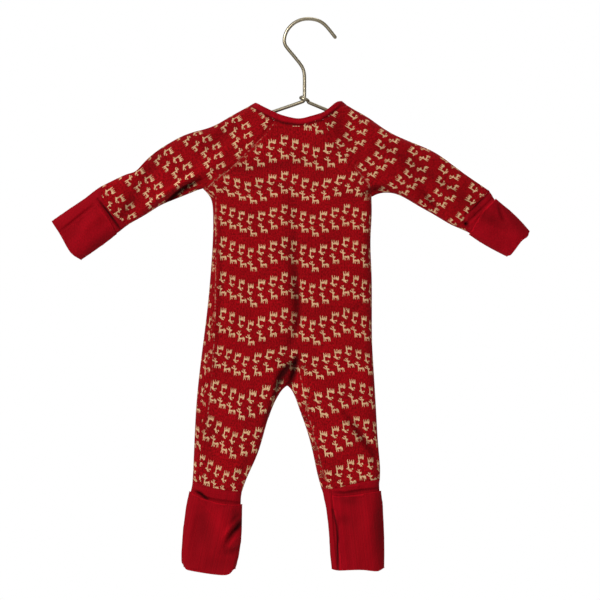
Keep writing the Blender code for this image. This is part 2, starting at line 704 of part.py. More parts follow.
def gussetPatches():
    """A diamond folded over the crotch, its edge points those of the panels it is sewn to."""
    peakFold, endFold = nearest(innerFold, crotchPoint), nearest(innerFold, gussetFront[-1])
    rows = rowCounts["thigh"]
    patches = []
    for face, apex in (("back", backApex), ("front", frontApex)):
        line = gussetLine(face)
        tip, end, ridge = line[0], line[-1], straight(apex, peakFold)
        patches.append((coons(between(line, tip, apex), between(innerFold, tip, peakFold), straight(tip, tip),
                              ridge, even(rows), closeToEnd(4)), face))
        patches.append((coons(between(line, apex, end), between(innerFold, peakFold, endFold), ridge,
                              straight(end, endFold), even(rows), closeToEnd(4)), face))
    return patches


def shoulderColumns(width):
    """From a raglan seam's top to the fold line of the shoulder."""
    return columns(ringColumns - rowCounts["yoke"], width, rollEnd=True)


def sleevePatches(side):
    left = side == "left"
    top, low, rows = (leftTop, leftLow, leftSleeve) if left else (rightTop, rightLow, rightSleeve)
    wrist = smoothLine(wristSeams[side])[::-1]
    patches = []
    for face in ("back", "front"):
        raglan, neck = raglanLine(side, face), neckSeam(face)
        shoulder = between(neck, raglan[0], neck[0] if left else neck[-1])
        head = joined(raglan[::-1], shoulder)
        share = span(raglan) / span(head)
        seam = share * columns(rowCounts["yoke"], span(raglan), rollStart=True)
        rest = shoulderColumns(span(shoulder))
        patches.append(seatedPatch(
            face, head, wrist, between(low, low[0], rows[wristRow][2:]),
            between(top, top[0], rows[wristRow][:2]),
            np.concatenate([seam, share + (1 - share) * rest[1:]]),
            columns(ringColumns, span(wrist), True, True), rowCounts["sleeve"]))
    return patches


def cuffPatches(kind, side):
    """A cuff's patches, and the one that its turned-back flap repeats on the back."""
    if kind == "wrist":
        first, last = (leftLow, leftTop) if side == "left" else (rightLow, rightTop)
        seam, end = smoothLine(wristSeams[side])[::-1], smoothLine(wristEnds[side])[::-1]
    else:
        first, last = (leftFold if side == "left" else rightFold), innerFold
        seam, end = ankleLine(side), ankleEnd(side)
    edge = pinned(flapEdges[kind, side], first, last)
    whole = columns(ringColumns, span(seam), True, True)
    upper = between(first, seam[0], edge[0]), between(last, seam[-1], edge[-1])
    lower = between(first, edge[0], end[0]), between(last, edge[-1], end[-1])
    patches = [seatedPatch("front", seam, edge, *upper, whole, whole, rowCounts["cuffTop"]),
               seatedPatch("front", edge, end, *lower, whole, whole, rowCounts["flap"])]
    if (kind, side) in flapSides:
        sideRows = flapSides[kind, side]
        corner, foot = nearest(edge, sideRows[0]), nearest(end, sideRows[-1])
        sideEdge = smoothLine([corner] + sideRows[1:-1] + [foot])
        flapTop, stripTop = between(edge, edge[0], corner), between(edge, corner, edge[-1])
        flapColumns = columns(ringColumns - flapStripColumns, span(flapTop), rollStart=True)
        strip = closeToEnd(flapStripColumns)
        share = fractionAt(edge, corner)
        across = np.concatenate([share * flapColumns, share + (1 - share) * strip[1:]])
        flap = seatedPatch("back", flapTop, between(end, end[0], foot), lower[0], sideEdge,
                           flapColumns, flapColumns, rowCounts["flap"])
        patches.append(seatedPatch("back", stripTop, between(end, foot, end[-1]), sideEdge, lower[1],
                                   strip, strip, rowCounts["flap"]))
    else:
        across = whole
        flap = seatedPatch("back", edge, end, *lower, whole, whole, rowCounts["flap"])
    patches.append(seatedPatch("back", seam, edge, *upper, whole, across, rowCounts["cuffTop"]))
    return patches + [flap], flap


def bandPatches():
    """The neck band, its columns those of the sleeves and panels that it is sewn to."""
    patches = []
    for face in ("back", "front"):
        edge, seam = neckLine(face), neckSeam(face)
        starts = [raglanLine(side, face)[0] for side in ("left", "right")]
        if face == "front":
            starts.insert(1, nearest(seam, centreTop))
        stops = [fractionAt(seam, start) for start in starts]
        panels = even(backColumns if face == "back" else frontColumns)
        leftEnd = shoulderColumns(stops[0] * span(seam))[::-1]
        rightEnd = shoulderColumns((1 - stops[-1]) * span(seam))
        across = [stops[0] * (1 - leftEnd)]
        across += [low + (high - low) * panels[1:] for low, high in zip(stops, stops[1:])]
        across = np.concatenate(across + [stops[-1] + (1 - stops[-1]) * rightEnd[1:]])
        patches.append((coons(edge, seam, straight(edge[0], seam[0]), straight(edge[-1], seam[-1]),
                              across, even(2)), face))
    return patches


def placketPatches():
    centre = bodyLines()["centre"]
    neck = neckSeam("front")
    lines = [offsetLine(along(centre, even(60)), side * placketWidth / 2) for side in (1, -1)]
    ends = [nearest(neck, line[0]) for line in lines]
    feet = [atHeight(line, placketEndZ) for line in lines]
    left, right = straight(ends[0], feet[0]), straight(ends[1], feet[1])
    return [seatedPatch("front", between(neck, ends[0], ends[1]), straight(feet[0], feet[1]), left, right,
                        even(4), even(4), placketRows)]


def addSnap(number, mat):
    """A press snap's cap on the placket."""
    centre = bodyLines()["centre"]
    z = topSnapZ + (lowSnapZ - topSnapZ) * number / (snapCount - 1)
    place = atHeight(along(centre, even(4000)), z)
    points, _ = liftCloth(place[None], "front")
    y = points[0, 1] + lapGap + bodyWall + lapGap
    bpy.ops.mesh.primitive_cylinder_add(vertices=20, radius=snapRadius * MM, depth=snapHeight * MM)
    cap = bpy.context.active_object
    cap.name = cap.data.name = "snap_%d" % (number + 1)
    cap.rotation_euler = (math.radians(90), 0, 0)
    cap.location = ((place[0] - hookCentre[0]) * MM, (y + snapHeight / 2) * MM, z * MM)
    bevel = cap.modifiers.new("rim", "BEVEL")
    bevel.width = 0.6 * MM
    bevel.segments = 1
    bevel.limit_method = "ANGLE"
    cap.data.materials.append(mat)
    cap.data.shade_smooth()
    for owner in cap.users_collection:
        owner.objects.unlink(cap)
    collection.objects.link(cap)


def unit(a):
    return np.array(a) / np.hypot(*a)


def arc(centre, radius, first, last, count):
    return [(centre[0] + radius * math.cos(a), centre[1] + radius * math.sin(a))
            for a in np.linspace(first, last, count)]


def bearing(run):
    return math.atan2(run[1], run[0])


def wirePath():
    """The hanger's one wire: hook, shank, left arm, bar, right arm, then a turn round the shank."""
    hook = arc(hookCentre, hookRadius, math.radians(hookStart), math.radians(hookEnd), hookRings)
    shank = smoothLine([hook[-1]] + shankLine + [armRoots["left"]], 3)
    # each arm turns back into the bar through an arc that both run into smoothly
    left, right = np.array(armEnds["left"]), np.array(armEnds["right"])
    leftRun, rightRun = unit(left - armRoots["left"]), unit(right - armRoots["right"])
    leftCentre = left + cornerRadius * np.array([-leftRun[1], leftRun[0]])
    rightCentre = right + cornerRadius * np.array([rightRun[1], -rightRun[0]])
    tilt = bearing(rightCentre - leftCentre)
    leftCorner = arc(leftCentre, cornerRadius, bearing(left - leftCentre), tilt + 1.5 * math.pi,
                     cornerRings)
    rightCorner = arc(rightCentre, cornerRadius, bearing(right - rightCentre), tilt - 0.5 * math.pi,
                      cornerRings)
    rootX, rootZ = armRoots["right"]
    flat = hook[:-1] + [tuple(q) for q in shank] + leftCorner + rightCorner[::-1]
    flat += [(rootX, rootZ), (rootX - 2.0, rootZ + 1.0)]
    path = [(x, 0.0, z) for x, z in flat]
    for turn in np.linspace(0, collarTurns, collarRings):
        angle = 2 * math.pi * turn
        path.append((shankX + collarRadius * math.cos(angle), -collarRadius * math.sin(angle),
                     rootZ + 3.0 + collarPitch * turn))
    return path


def addHanger(mat):
    points = wirePath()
    curve = bpy.data.curves.new("hanger", "CURVE")
    curve.dimensions = "3D"
    curve.bevel_depth = wireRadius * MM
    curve.bevel_resolution = 2
    curve.use_fill_caps = True
    spline = curve.splines.new("POLY")
    spline.points.add(len(points) - 1)
    for place, point in zip(spline.points, points):
        place.co = ((point[0] - hookCentre[0]) * MM, point[1] * MM, point[2] * MM, 1)
    addObject("hanger", curve, mat)


def main():
    rib = material("printed_rib", (0.35, 0.005, 0.012), 0.85)
    jersey = material("red_jersey", (0.33, 0.005, 0.014), 0.8)
    wire = material("hanger_wire", (0.62, 0.58, 0.46), 0.3, 1.0)
    cap = material("snap_cap", (0.36, 0.01, 0.02), 0.35)

    clothPiece("back", backPatches(), bodyWall, rib)
    clothPiece("front_left", frontLeftPatches(), bodyWall, rib)
    clothPiece("front_right", frontRightPatches(), bodyWall, rib)
    clothPiece("gusset", gussetPatches(), bodyWall, rib)
    clothPiece("neckband", bandPatches(), bandWall, jersey)
    clothPiece("placket", placketPatches(), bodyWall, jersey, raised=lapGap)
    for side in ("left", "right"):
        clothPiece("sleeve_" + side, sleevePatches(side), bodyWall, rib)
        for kind in ("wrist", "ankle"):
            cuff, flap = cuffPatches(kind, side)
            clothPiece("%s_cuff_%s" % (kind, side), cuff, cuffWall, jersey)
            clothPiece("%s_flap_%s" % (kind, side), [flap], cuffWall, jersey, raised=lapGap)
    for number in range(snapCount):
        addSnap(number, cap)
    addHanger(wire)


main()
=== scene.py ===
# Baby's romper pyjama in red printed rib, hung on a wire hanger, seen from its back.
# Sizes are in millimetres where a note says so, and in metres elsewhere.
import math

import bmesh
import bpy
import numpy as np
from mathutils import Matrix, Vector
from mathutils.kdtree import KDTree


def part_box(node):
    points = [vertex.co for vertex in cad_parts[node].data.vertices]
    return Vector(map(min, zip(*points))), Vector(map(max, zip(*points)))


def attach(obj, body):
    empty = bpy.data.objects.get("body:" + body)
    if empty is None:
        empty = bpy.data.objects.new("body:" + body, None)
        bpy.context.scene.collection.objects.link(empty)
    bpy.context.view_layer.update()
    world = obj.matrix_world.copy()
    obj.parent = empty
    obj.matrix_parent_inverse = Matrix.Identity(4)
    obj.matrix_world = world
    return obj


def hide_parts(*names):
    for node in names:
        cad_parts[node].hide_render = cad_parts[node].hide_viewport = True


mm = 0.001
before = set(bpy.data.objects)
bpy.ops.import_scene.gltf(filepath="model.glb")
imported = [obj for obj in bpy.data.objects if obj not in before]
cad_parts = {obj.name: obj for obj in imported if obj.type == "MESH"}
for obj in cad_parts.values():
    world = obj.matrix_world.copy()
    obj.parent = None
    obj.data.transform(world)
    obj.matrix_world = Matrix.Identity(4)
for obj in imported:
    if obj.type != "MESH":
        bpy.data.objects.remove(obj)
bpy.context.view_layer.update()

studio = {
    "centre": (-0.0105, -0.3144),   # what the camera looks at, x and z
    "distance": 3.2,
    "frameWidth": 0.675,            # metres across the frame where the garment hangs
    "sensor": 36.0,
    "surroundings": 0.30,           # how strongly the white room lights the cloth
    "lightsAimAt": (0, 0, -0.3),
    # each light's place, how wide it is and how many watts it has
    "lights": {
        "key": ((-1.1, -2.0, 0.6), 0.7, 44.0),
        "fill": ((1.6, -1.9, 0.0), 1.6, 2.0),
        "top": ((0.1, 0.3, 1.5), 1.2, 10.0),
        "back": ((0.9, 2.2, 0.5), 1.0, 16.0),
    },
    "floorZ": -0.74,
    "floorRadius": 0.75,
    "floorColour": (0.86, 0.86, 0.86),
}


def addCamera(setup):
    data = bpy.data.cameras.new("camera")
    data.sensor_width = setup["sensor"]
    data.lens = data.sensor_width * setup["distance"] / setup["frameWidth"]
    camera = bpy.data.objects.new("camera", data)
    camera.location = (setup["centre"][0], -setup["distance"], setup["centre"][1])
    camera.rotation_euler = (math.radians(90), 0, 0)
    bpy.context.collection.objects.link(camera)
    bpy.context.scene.camera = camera


def addLights(setup):
    for name, (place, size, power) in setup["lights"].items():
        data = bpy.data.lights.new(name, "AREA")
        data.shape = "DISK"
        data.size = size
        data.energy = power
        light = bpy.data.objects.new(name, data)
        light.location = place
        aim = Vector(setup["lightsAimAt"]) - Vector(place)
        light.rotation_euler = aim.to_track_quat("-Z", "Y").to_euler()
        bpy.context.collection.objects.link(light)


def addRoom(setup):
    # white all round where it is seen, dimmer as a light
    world = bpy.data.worlds.new("room")
    world.use_nodes = True
    tree = world.node_tree
    shine = tree.nodes["Background"]
    seen = tree.nodes.new("ShaderNodeLightPath")
    strength = tree.nodes.new("ShaderNodeMath")
    strength.operation = "MULTIPLY_ADD"
    tree.links.new(seen.outputs["Is Camera Ray"], strength.inputs[0])
    strength.inputs[1].default_value = 1.0 - setup["surroundings"]
    strength.inputs[2].default_value = setup["surroundings"]
    tree.links.new(strength.outputs[0], shine.inputs["Strength"])
    shine.inputs["Color"].default_value = (1, 1, 1, 1)
    bpy.context.scene.world = world
    bpy.context.scene.view_settings.view_transform = "Standard"


def addFloor(setup):
    bm = bmesh.new()
    bmesh.ops.create_circle(bm, cap_ends=True, segments=96, radius=setup["floorRadius"])
    bmesh.ops.translate(bm, vec=(0, 0, setup["floorZ"]), verts=bm.verts)
    floor = bpy.data.objects.new("floor", bpy.data.meshes.new("floor"))
    bm.to_mesh(floor.data)
    bm.free()
    bpy.context.collection.objects.link(floor)
    plain = bpy.data.materials.new("pale_floor")
    plain.use_nodes = True
    shader = plain.node_tree.nodes["Principled BSDF"]
    shader.inputs["Base Color"].default_value = (*setup["floorColour"], 1)
    shader.inputs["Roughness"].default_value = 0.9
    floor.data.materials.append(plain)


addCamera(studio)
addLights(studio)
addRoom(studio)
addFloor(studio)
print("camera and studio ready")

dye = {
    "red": (0.315, 0.0004, 0.0035),
    "deepRed": (0.150, 0.0001, 0.0012),
    "brightRed": (0.47, 0.0012, 0.007),
    "cuffRed": (0.305, 0.0002, 0.006),
    "cream": (0.83, 0.54, 0.30),
    "dullCream": (0.50, 0.28, 0.14),
    "thread": (0.62, 0.30, 0.20),
    "wire": (0.41, 0.36, 0.26),
    "wornWire": (0.30, 0.25, 0.16),
}

# The print, in millimetres: columns of deer that step up and down in a zigzag. Each band has a
# row of deer upside down over a row that stands.
reindeer = {
    "columnPitch": 11.5,
    "zigzagStep": 4.25,
    "zigzagColumns": 3,
    "bandPitch": 39.6,
    "flippedSwing": 1.4,            # how far left each step down moves the upside-down deer
    "cell": 0.555,
    "flippedPlace": (0.6, 1.7),     # middle and top of the row's charts, from the column's own
    "standingPlace": (-1.2, 16.6),
    "flipped": [
        "...#...#........",
        "...#...#...#..#.",
        "...#...#...#..#.",
        "...##..##.##.##.",
        "...##..##.##.##.",
        "...############.",
        "...############.",
        "...############.",
        "...##......####.",
        "...##.......##..",
        "...##...........",
        "...##...........",
        "...##...........",
        "...##...........",
        "..###...........",
        "#####...........",
        "######....##....",
        "..##########....",
        "...####...##....",
        "....####........",
        ".....####.......",
        "......#.##......",
    ],
    "standing": [
        "...#..#............",
        "...##.##...........",
        "....###............",
        "##...##............",
        "###..##............",
        ".####.##...........",
        "...########........",
        ".....######........",
        "......####.........",
        "......##...........",
        "......##...........",
        "......##...........",
        "......##.......##..",
        "......############.",
        "......#############",
        "......#############",
        "......##.#.....####",
        "......##.##....#.##",
        "......##.##....#.##",
        "......#...#....#..#",
        "......#...#....#..#",
    ],
}
knit = {
    "ribPitch": 1.62,               # millimetres here and below
    "coursePitch": 1.25,
    "courseDepth": 0.05,
    "fuzzDepth": 0.12,
    "raggedReach": 2.4,             # how far from a seam the print is ragged, and how much more so
    "ragged": 4.0,
    "brokenReach": 3.2,             # how far from a frayed seam the print is broken
    "threadWidth": 0.45,
    "allowance": (2.8, 1.8),        # where the seam allowance is felt from inside, and how wide
    "edgeGlow": 1.45,
    "roughness": 0.8,
    "specular": 0.07,
    "sheen": 0.10,
    "sheenRoughness": 0.5,
    "sheenTint": (1.0, 0.10, 0.13),
}


class Shader:
    # the nodes of one material, joined by short calls

    def __init__(self, name):
        self.material = bpy.data.materials.new(name)
        self.material.use_nodes = True
        self.nodes = self.material.node_tree.nodes
        self.links = self.material.node_tree.links
        self.surface = self.nodes["Principled BSDF"]

    def node(self, kind, **settings):
        made = self.nodes.new(kind)
        for key, value in settings.items():
            setattr(made, key, value)
        return made

    def feed(self, socket, value):
        if isinstance(value, bpy.types.NodeSocket):
            self.links.new(value, socket)
        else:
            socket.default_value = value

    def calc(self, operation, *values):
        made = self.node("ShaderNodeMath", operation=operation)
        for socket, value in zip(made.inputs, values):
            self.feed(socket, value)
        return made.outputs[0]

    def noise(self, u, v, across, along, seed, detail=2.0, rough=0.5):
        # from 0 to 1, finer the more often it turns across and along
        made = self.node("ShaderNodeTexNoise")
        self.feed(made.inputs["Vector"], self.vector(
            self.calc("MULTIPLY", u, across), self.calc("MULTIPLY", v, along), seed))
        made.inputs["Scale"].default_value = 1.0
        made.inputs["Detail"].default_value = detail
        made.inputs["Roughness"].default_value = rough
        return made.outputs["Fac"]

    def swing(self, *settings):
        # the same noise, to both sides of nothing
        return self.calc("SUBTRACT", self.noise(*settings), 0.5)

    def vector(self, x, y, z=0.0):
        made = self.node("ShaderNodeCombineXYZ")
        for socket, value in zip(made.inputs, (x, y, z)):
            self.feed(socket, value)
        return made.outputs[0]

    def split(self, vector):
        made = self.node("ShaderNodeSeparateXYZ")
        self.feed(made.inputs[0], vector)
        return made.outputs

    def blend(self, amount, first, second, kind="MIX"):
        made = self.node("ShaderNodeMix", data_type="RGBA", blend_type=kind)
        self.feed(made.inputs[0], amount)
        for place, tone in ((6, first), (7, second)):
            linked = isinstance(tone, bpy.types.NodeSocket)
            self.feed(made.inputs[place], tone if linked else (*tone, 1))
        return made.outputs[2]

    def dimmed(self, tone, share):
        return self.blend(1.0, tone, self.vector(share, share, share), "MULTIPLY")

    def attribute(self, name):
        return self.node("ShaderNodeAttribute", attribute_name=name).outputs["Fac"]

    def scaled(self, value, low, high, newLow, newHigh):
        made = self.node("ShaderNodeMapRange")
        for socket, number in zip(made.inputs, (value, low, high, newLow, newHigh)):
            self.feed(socket, number)
        return made.outputs[0]

    def fade(self, distance, reach):
        # 1 at no distance, falling off over the reach
        squared = self.calc("POWER", self.calc("DIVIDE", distance, reach), 2.0)
        return self.calc("EXPONENT", self.calc("MULTIPLY", squared, -1.0))

    def bump(self, height, strength):
        made = self.node("ShaderNodeBump")
        made.inputs["Strength"].default_value = strength
        made.inputs["Distance"].default_value = mm
        self.feed(made.inputs["Height"], height)
        self.feed(self.surface.inputs["Normal"], made.outputs[0])


def deerRow(s, u, v, chart, place, size):
    # 1 inside the deer of one chart, each line of it a number whose binary digits are its cells
    lay = reindeer
    rows, cells = len(chart), len(chart[0])
    cellSize = lay["cell"] * size
    top = place[1] + rows * (lay["cell"] - cellSize) / 2
    fromPlace = s.calc("SUBTRACT", u, place[0])
    column = s.calc("FLOOR", s.calc("ADD", s.calc("DIVIDE", fromPlace, lay["columnPitch"]), 0.5))
    across = s.calc("SUBTRACT", fromPlace, s.calc("MULTIPLY", column, lay["columnPitch"]))
    zigzag = s.calc("PINGPONG", column, float(lay["zigzagColumns"]))
    step = s.calc("MULTIPLY", zigzag, lay["zigzagStep"])
    down = s.calc("SUBTRACT", s.calc("MULTIPLY", s.calc("ADD", v, step), -1.0), top)
    row = s.calc("DIVIDE", s.calc("FLOORED_MODULO", down, lay["bandPitch"]), cellSize)
    cell = s.calc("FLOOR", s.calc("ADD", s.calc("DIVIDE", across, cellSize), cells / 2))

    ramp = s.node("ShaderNodeValToRGB")
    ramp.color_ramp.interpolation = "CONSTANT"
    stops = ramp.color_ramp.elements
    stops.remove(stops[1])
    for number, line in enumerate(chart):
        code = sum(2.0 ** -(k + 1) for k, mark in enumerate(line) if mark == "#")
        stop = stops[0] if number == 0 else stops.new(number / rows)
        stop.color = (code, code, code, 1)
    s.feed(ramp.inputs[0], s.calc("DIVIDE", row, float(rows)))
    code = s.split(ramp.outputs["Color"])[0]
    raised = s.calc("MULTIPLY", code, s.calc("POWER", 2.0, s.calc("ADD", cell, 1.0)))
    digit = s.calc("FLOORED_MODULO", s.calc("FLOOR", raised), 2.0)
    inRow = s.calc("LESS_THAN", row, float(rows))
    inCell = s.calc("MULTIPLY", s.calc("GREATER_THAN", cell, -0.5),
                    s.calc("LESS_THAN", cell, cells - 0.5))
    return s.calc("MULTIPLY", digit, s.calc("MULTIPLY", inRow, inCell))


def printMask(s, u, v, seam, size):
    # the cloth's own unevenness first, then what the ribs do to the edges of the ink
    pull = s.swing(u, v, 0.035, 0.035, 5.0, 1.0)
    sway = s.swing(u, v, 0.05, 0.05, 9.0, 1.0)
    ribbed = s.swing(u, v, 0.75, 0.2, 1.0)
    wobble = s.swing(u, v, 0.35, 0.35, 7.0, 1.0)
    ragged = s.calc("MULTIPLY_ADD", s.fade(seam, knit["raggedReach"]), knit["ragged"], 1.0)
    v = s.calc("MULTIPLY_ADD", pull, 3.0, v)
    v = s.calc("MULTIPLY_ADD", ribbed, s.calc("MULTIPLY", ragged, 1.5), v)
    u = s.calc("MULTIPLY_ADD", sway, 2.2, u)
    u = s.calc("MULTIPLY_ADD", wobble, s.calc("MULTIPLY", ragged, 0.6), u)
    steps = s.calc("PINGPONG", s.calc("DIVIDE", u, reindeer["columnPitch"]),
                   float(reindeer["zigzagColumns"]))
    swung = s.calc("MULTIPLY_ADD", steps, reindeer["flippedSwing"], u)
    flipped = deerRow(s, swung, v, reindeer["flipped"], reindeer["flippedPlace"], size)
    standing = deerRow(s, u, v, reindeer["standing"], reindeer["standingPlace"], size)
    return s.calc("MAXIMUM", flipped, standing)


def wave(s, value, pitch):
    return s.calc("ABSOLUTE", s.calc("SINE", s.calc("MULTIPLY", value, math.pi / pitch)))


def clothPlace(s):
    # where a point lies on the flat cloth, in millimetres, across and along the ribs
    x, y, _ = s.split(s.node("ShaderNodeUVMap", uv_map="cloth").outputs[0])
    return s.calc("MULTIPLY", x, 1000.0), s.calc("MULTIPLY", y, 1000.0)


def printed(s, tone, u, v, size, seam, grain, fuzz, pucker):
    # sewing thread along the frayed seams, and the ink, broken beside them
    frayed = s.attribute("frayed")
    thread = s.calc("MULTIPLY", s.fade(s.attribute("thread"), knit["threadWidth"]),
                    s.scaled(pucker, 0.46, 0.6, 0.0, 0.7))
    thread = s.calc("MULTIPLY", thread, s.scaled(frayed, 0.5, 0.9, 0.0, 1.0))
    broken = s.calc("MULTIPLY", s.calc("MULTIPLY", frayed, s.fade(seam, knit["brokenReach"])),
                    s.scaled(fuzz, 0.3, 0.55, 1.0, 0.35))
    mask = s.calc("MULTIPLY", printMask(s, u, v, seam, size),
                  s.calc("SUBTRACT", 1.0, s.attribute("inside")))
    mask = s.calc("MULTIPLY", mask, s.scaled(broken, 0.05, 0.6, 1.0, 0.0))
    mask = s.calc("MULTIPLY", mask, s.scaled(grain, 0.3, 0.45, 0.88, 1.0))
    ink = s.blend(s.scaled(grain, 0.34, 0.6, 0.0, 1.0), dye["dullCream"], dye["cream"])
    return s.blend(mask, s.blend(thread, tone, dye["thread"]), ink)


def knitMaterial(name, colour, ribDepth, ribShade, uneven, deerSize=0.0, paintedEdgeHighlight=False):
    # ribs, courses, a little fuzz, uneven dye, puckered cloth beside the seams, painted shade and
    # highlight along the creases, painted shade in the rib valleys, and a painted highlight on
    # turned edges
    s = Shader(name)
    u, v = clothPlace(s)
    seam = s.attribute("seam")
    rib = wave(s, u, knit["ribPitch"])
    course = wave(s, v, knit["coursePitch"])
    broad = s.noise(u, v, 0.03, 0.03, 0.0, 3.0)
    grain = s.noise(u, v, 0.70, 0.42, 3.0, 3.0, 0.66)
    fuzz = s.noise(u, v, 2.1, 2.1, 13.0, 2.0)
    pucker = s.noise(u, v, 0.28, 0.28, 11.0, 1.0)

    tone = s.blend(s.scaled(grain, 0.50, 0.37, 0.0, uneven), colour, dye["deepRed"])
    tone = s.blend(s.scaled(grain, 0.50, 0.65, 0.0, uneven), tone, dye["brightRed"])
    tone = s.blend(s.scaled(broad, 0.35, 0.65, 0.0, 0.35), tone, dye["deepRed"])
    if deerSize:
        tone = printed(s, tone, u, v, deerSize, seam, grain, fuzz, pucker)
    # painted shade in the creases' hollows, painted highlight on their ridges
    tone = s.dimmed(tone, s.calc("SUBTRACT", 1.0, s.attribute("shade")))
    if paintedEdgeHighlight:                               # painted highlight: the turned edge is made lighter, as if it caught the light
        edge = s.fade(s.calc("SUBTRACT", seam, 0.5), 0.6)
        tone = s.dimmed(tone, s.scaled(edge, 0.0, 1.0, 1.0, knit["edgeGlow"]))
    # painted shade in the rib valleys
    tone = s.dimmed(tone, s.scaled(rib, 0.0, 0.75, ribShade, 1.0))
    s.feed(s.surface.inputs["Base Color"], tone)
    s.surface.inputs["Roughness"].default_value = knit["roughness"]
    s.surface.inputs["Specular IOR Level"].default_value = knit["specular"]
    s.surface.inputs["Sheen Weight"].default_value = knit["sheen"]
    s.surface.inputs["Sheen Roughness"].default_value = knit["sheenRoughness"]
    s.surface.inputs["Sheen Tint"].default_value = (*knit["sheenTint"], 1)

    inward, reach = knit["allowance"]
    allowance = s.fade(s.calc("SUBTRACT", seam, inward), reach)
    height = s.calc("MULTIPLY", rib, ribDepth)
    height = s.calc("MULTIPLY_ADD", course, knit["courseDepth"], height)
    height = s.calc("MULTIPLY_ADD", grain, 0.6 * uneven, height)
    height = s.calc("MULTIPLY_ADD", fuzz, knit["fuzzDepth"], height)
    height = s.calc("MULTIPLY_ADD", allowance, s.scaled(pucker, 0.3, 0.7, 0.1, 0.9), height)
    s.bump(height, 0.85)
    return s.material


def wireMaterial():
    # champagne-plated steel wire, a little worn
    s = Shader("champagne_wire")
    x, y, z = s.split(s.node("ShaderNodeTexCoord").outputs["Object"])
    worn = s.noise(s.calc("ADD", x, y), z, 90.0, 90.0, 0.0, 3.0)
    tone = s.blend(s.scaled(worn, 0.35, 0.65, 0.0, 0.8), dye["wire"], dye["wornWire"])
    s.feed(s.surface.inputs["Base Color"], tone)
    s.surface.inputs["Metallic"].default_value = 1.0
    s.feed(s.surface.inputs["Roughness"], s.scaled(worn, 0.3, 0.7, 0.3, 0.4))
    return s.material


def threadMaterial():
    s = Shader("stitching_thread")
    x, _, z = s.split(s.node("ShaderNodeTexCoord").outputs["Object"])
    spun = s.noise(x, z, 4000.0, 4000.0, 0.0)
    tone = s.blend(s.scaled(spun, 0.3, 0.7, 0.0, 1.0), dye["thread"], dye["cream"])
    s.feed(s.surface.inputs["Base Color"], tone)
    s.surface.inputs["Roughness"].default_value = 0.7
    return s.material


def lacquerMaterial():
    s = Shader("snap_lacquer")
    x, _, z = s.split(s.node("ShaderNodeTexCoord").outputs["Object"])
    worn = s.noise(x, z, 700.0, 700.0, 0.0)
    tone = s.blend(s.scaled(worn, 0.3, 0.7, 0.0, 0.4), dye["cuffRed"], dye["deepRed"])
    s.feed(s.surface.inputs["Base Color"], tone)
    s.feed(s.surface.inputs["Roughness"], s.scaled(worn, 0.2, 0.8, 0.25, 0.42))
    s.surface.inputs["Coat Weight"].default_value = 0.3
    return s.material


# depth of the ribs and the painted shade in their valleys, then how uneven the dye is
rib, jersey = (0.34, 0.72, 0.95), (0.14, 0.9, 0.3)
ribPrint = knitMaterial("printed_rib", dye["red"], *rib, deerSize=1.0)
sleevePrint = knitMaterial("printed_sleeve_rib", dye["red"], *rib, deerSize=0.93)  # less stretched
cuffJersey = knitMaterial("cuff_jersey_painted_edge_highlight", dye["cuffRed"], *jersey)
flapJerseyPaintedHighlight = knitMaterial("flap_jersey_painted_edge_highlight", dye["cuffRed"], *jersey, paintedEdgeHighlight=True)
print("materials ready")

# Half the garment's depth at the body, hands and feet, how far in its rolled folds reach, and
# where the arms and legs start to thin and over what length, in millimetres
fullness = {
    "body": 12.5,
    "wrist": 7.0,
    "ankle": 7.5,
    "roll": 10.0,
    "middle": -13.4,
    "arms": (72, 165),
    "legs": (385, 150),
}

# The print's frame on each panel: where its zero lies, and which way is up
layPlan = {
    "body": {"x": -28.3, "yoke": 0.14, "yokeFrom": (-212, 45)},
    # each leg's print leans from the crotch down, more so lower down, and tilts from the thigh down
    "leftLeg": {"lean": 0.13, "lower": 0.09, "tilt": 0.14, "u": -69.0},
    "rightLeg": {"lean": -0.112, "lower": 0.0, "tilt": -0.10, "u": 69.0},
    "legs": {"between": (-62, 90), "lean": 342, "lower": 445, "tilt": (385, 60)},
    "gusset": 18.0,
    "front_left": 4.0,
    "front_right": 9.0,
    "inseamTop": -440,
    # how high each repeat of the print hangs, from the top down, as the cloth stretches
    "rows": (-84, -127.7, -168.2, -205.3, -241.7, -281.0, -321.1, -363.9, -401.6, -442.1, -485.4,
             -529),
    "firstRow": 4,
    "sleeve_left": {"x": -149.3, "z": -169.7, "up": 34.6, "u": -2.6, "v": -21.2},
    "sleeve_right": {"x": 123.5, "z": -177.3, "up": 148.5, "u": 34.5, "v": -33.4},
}
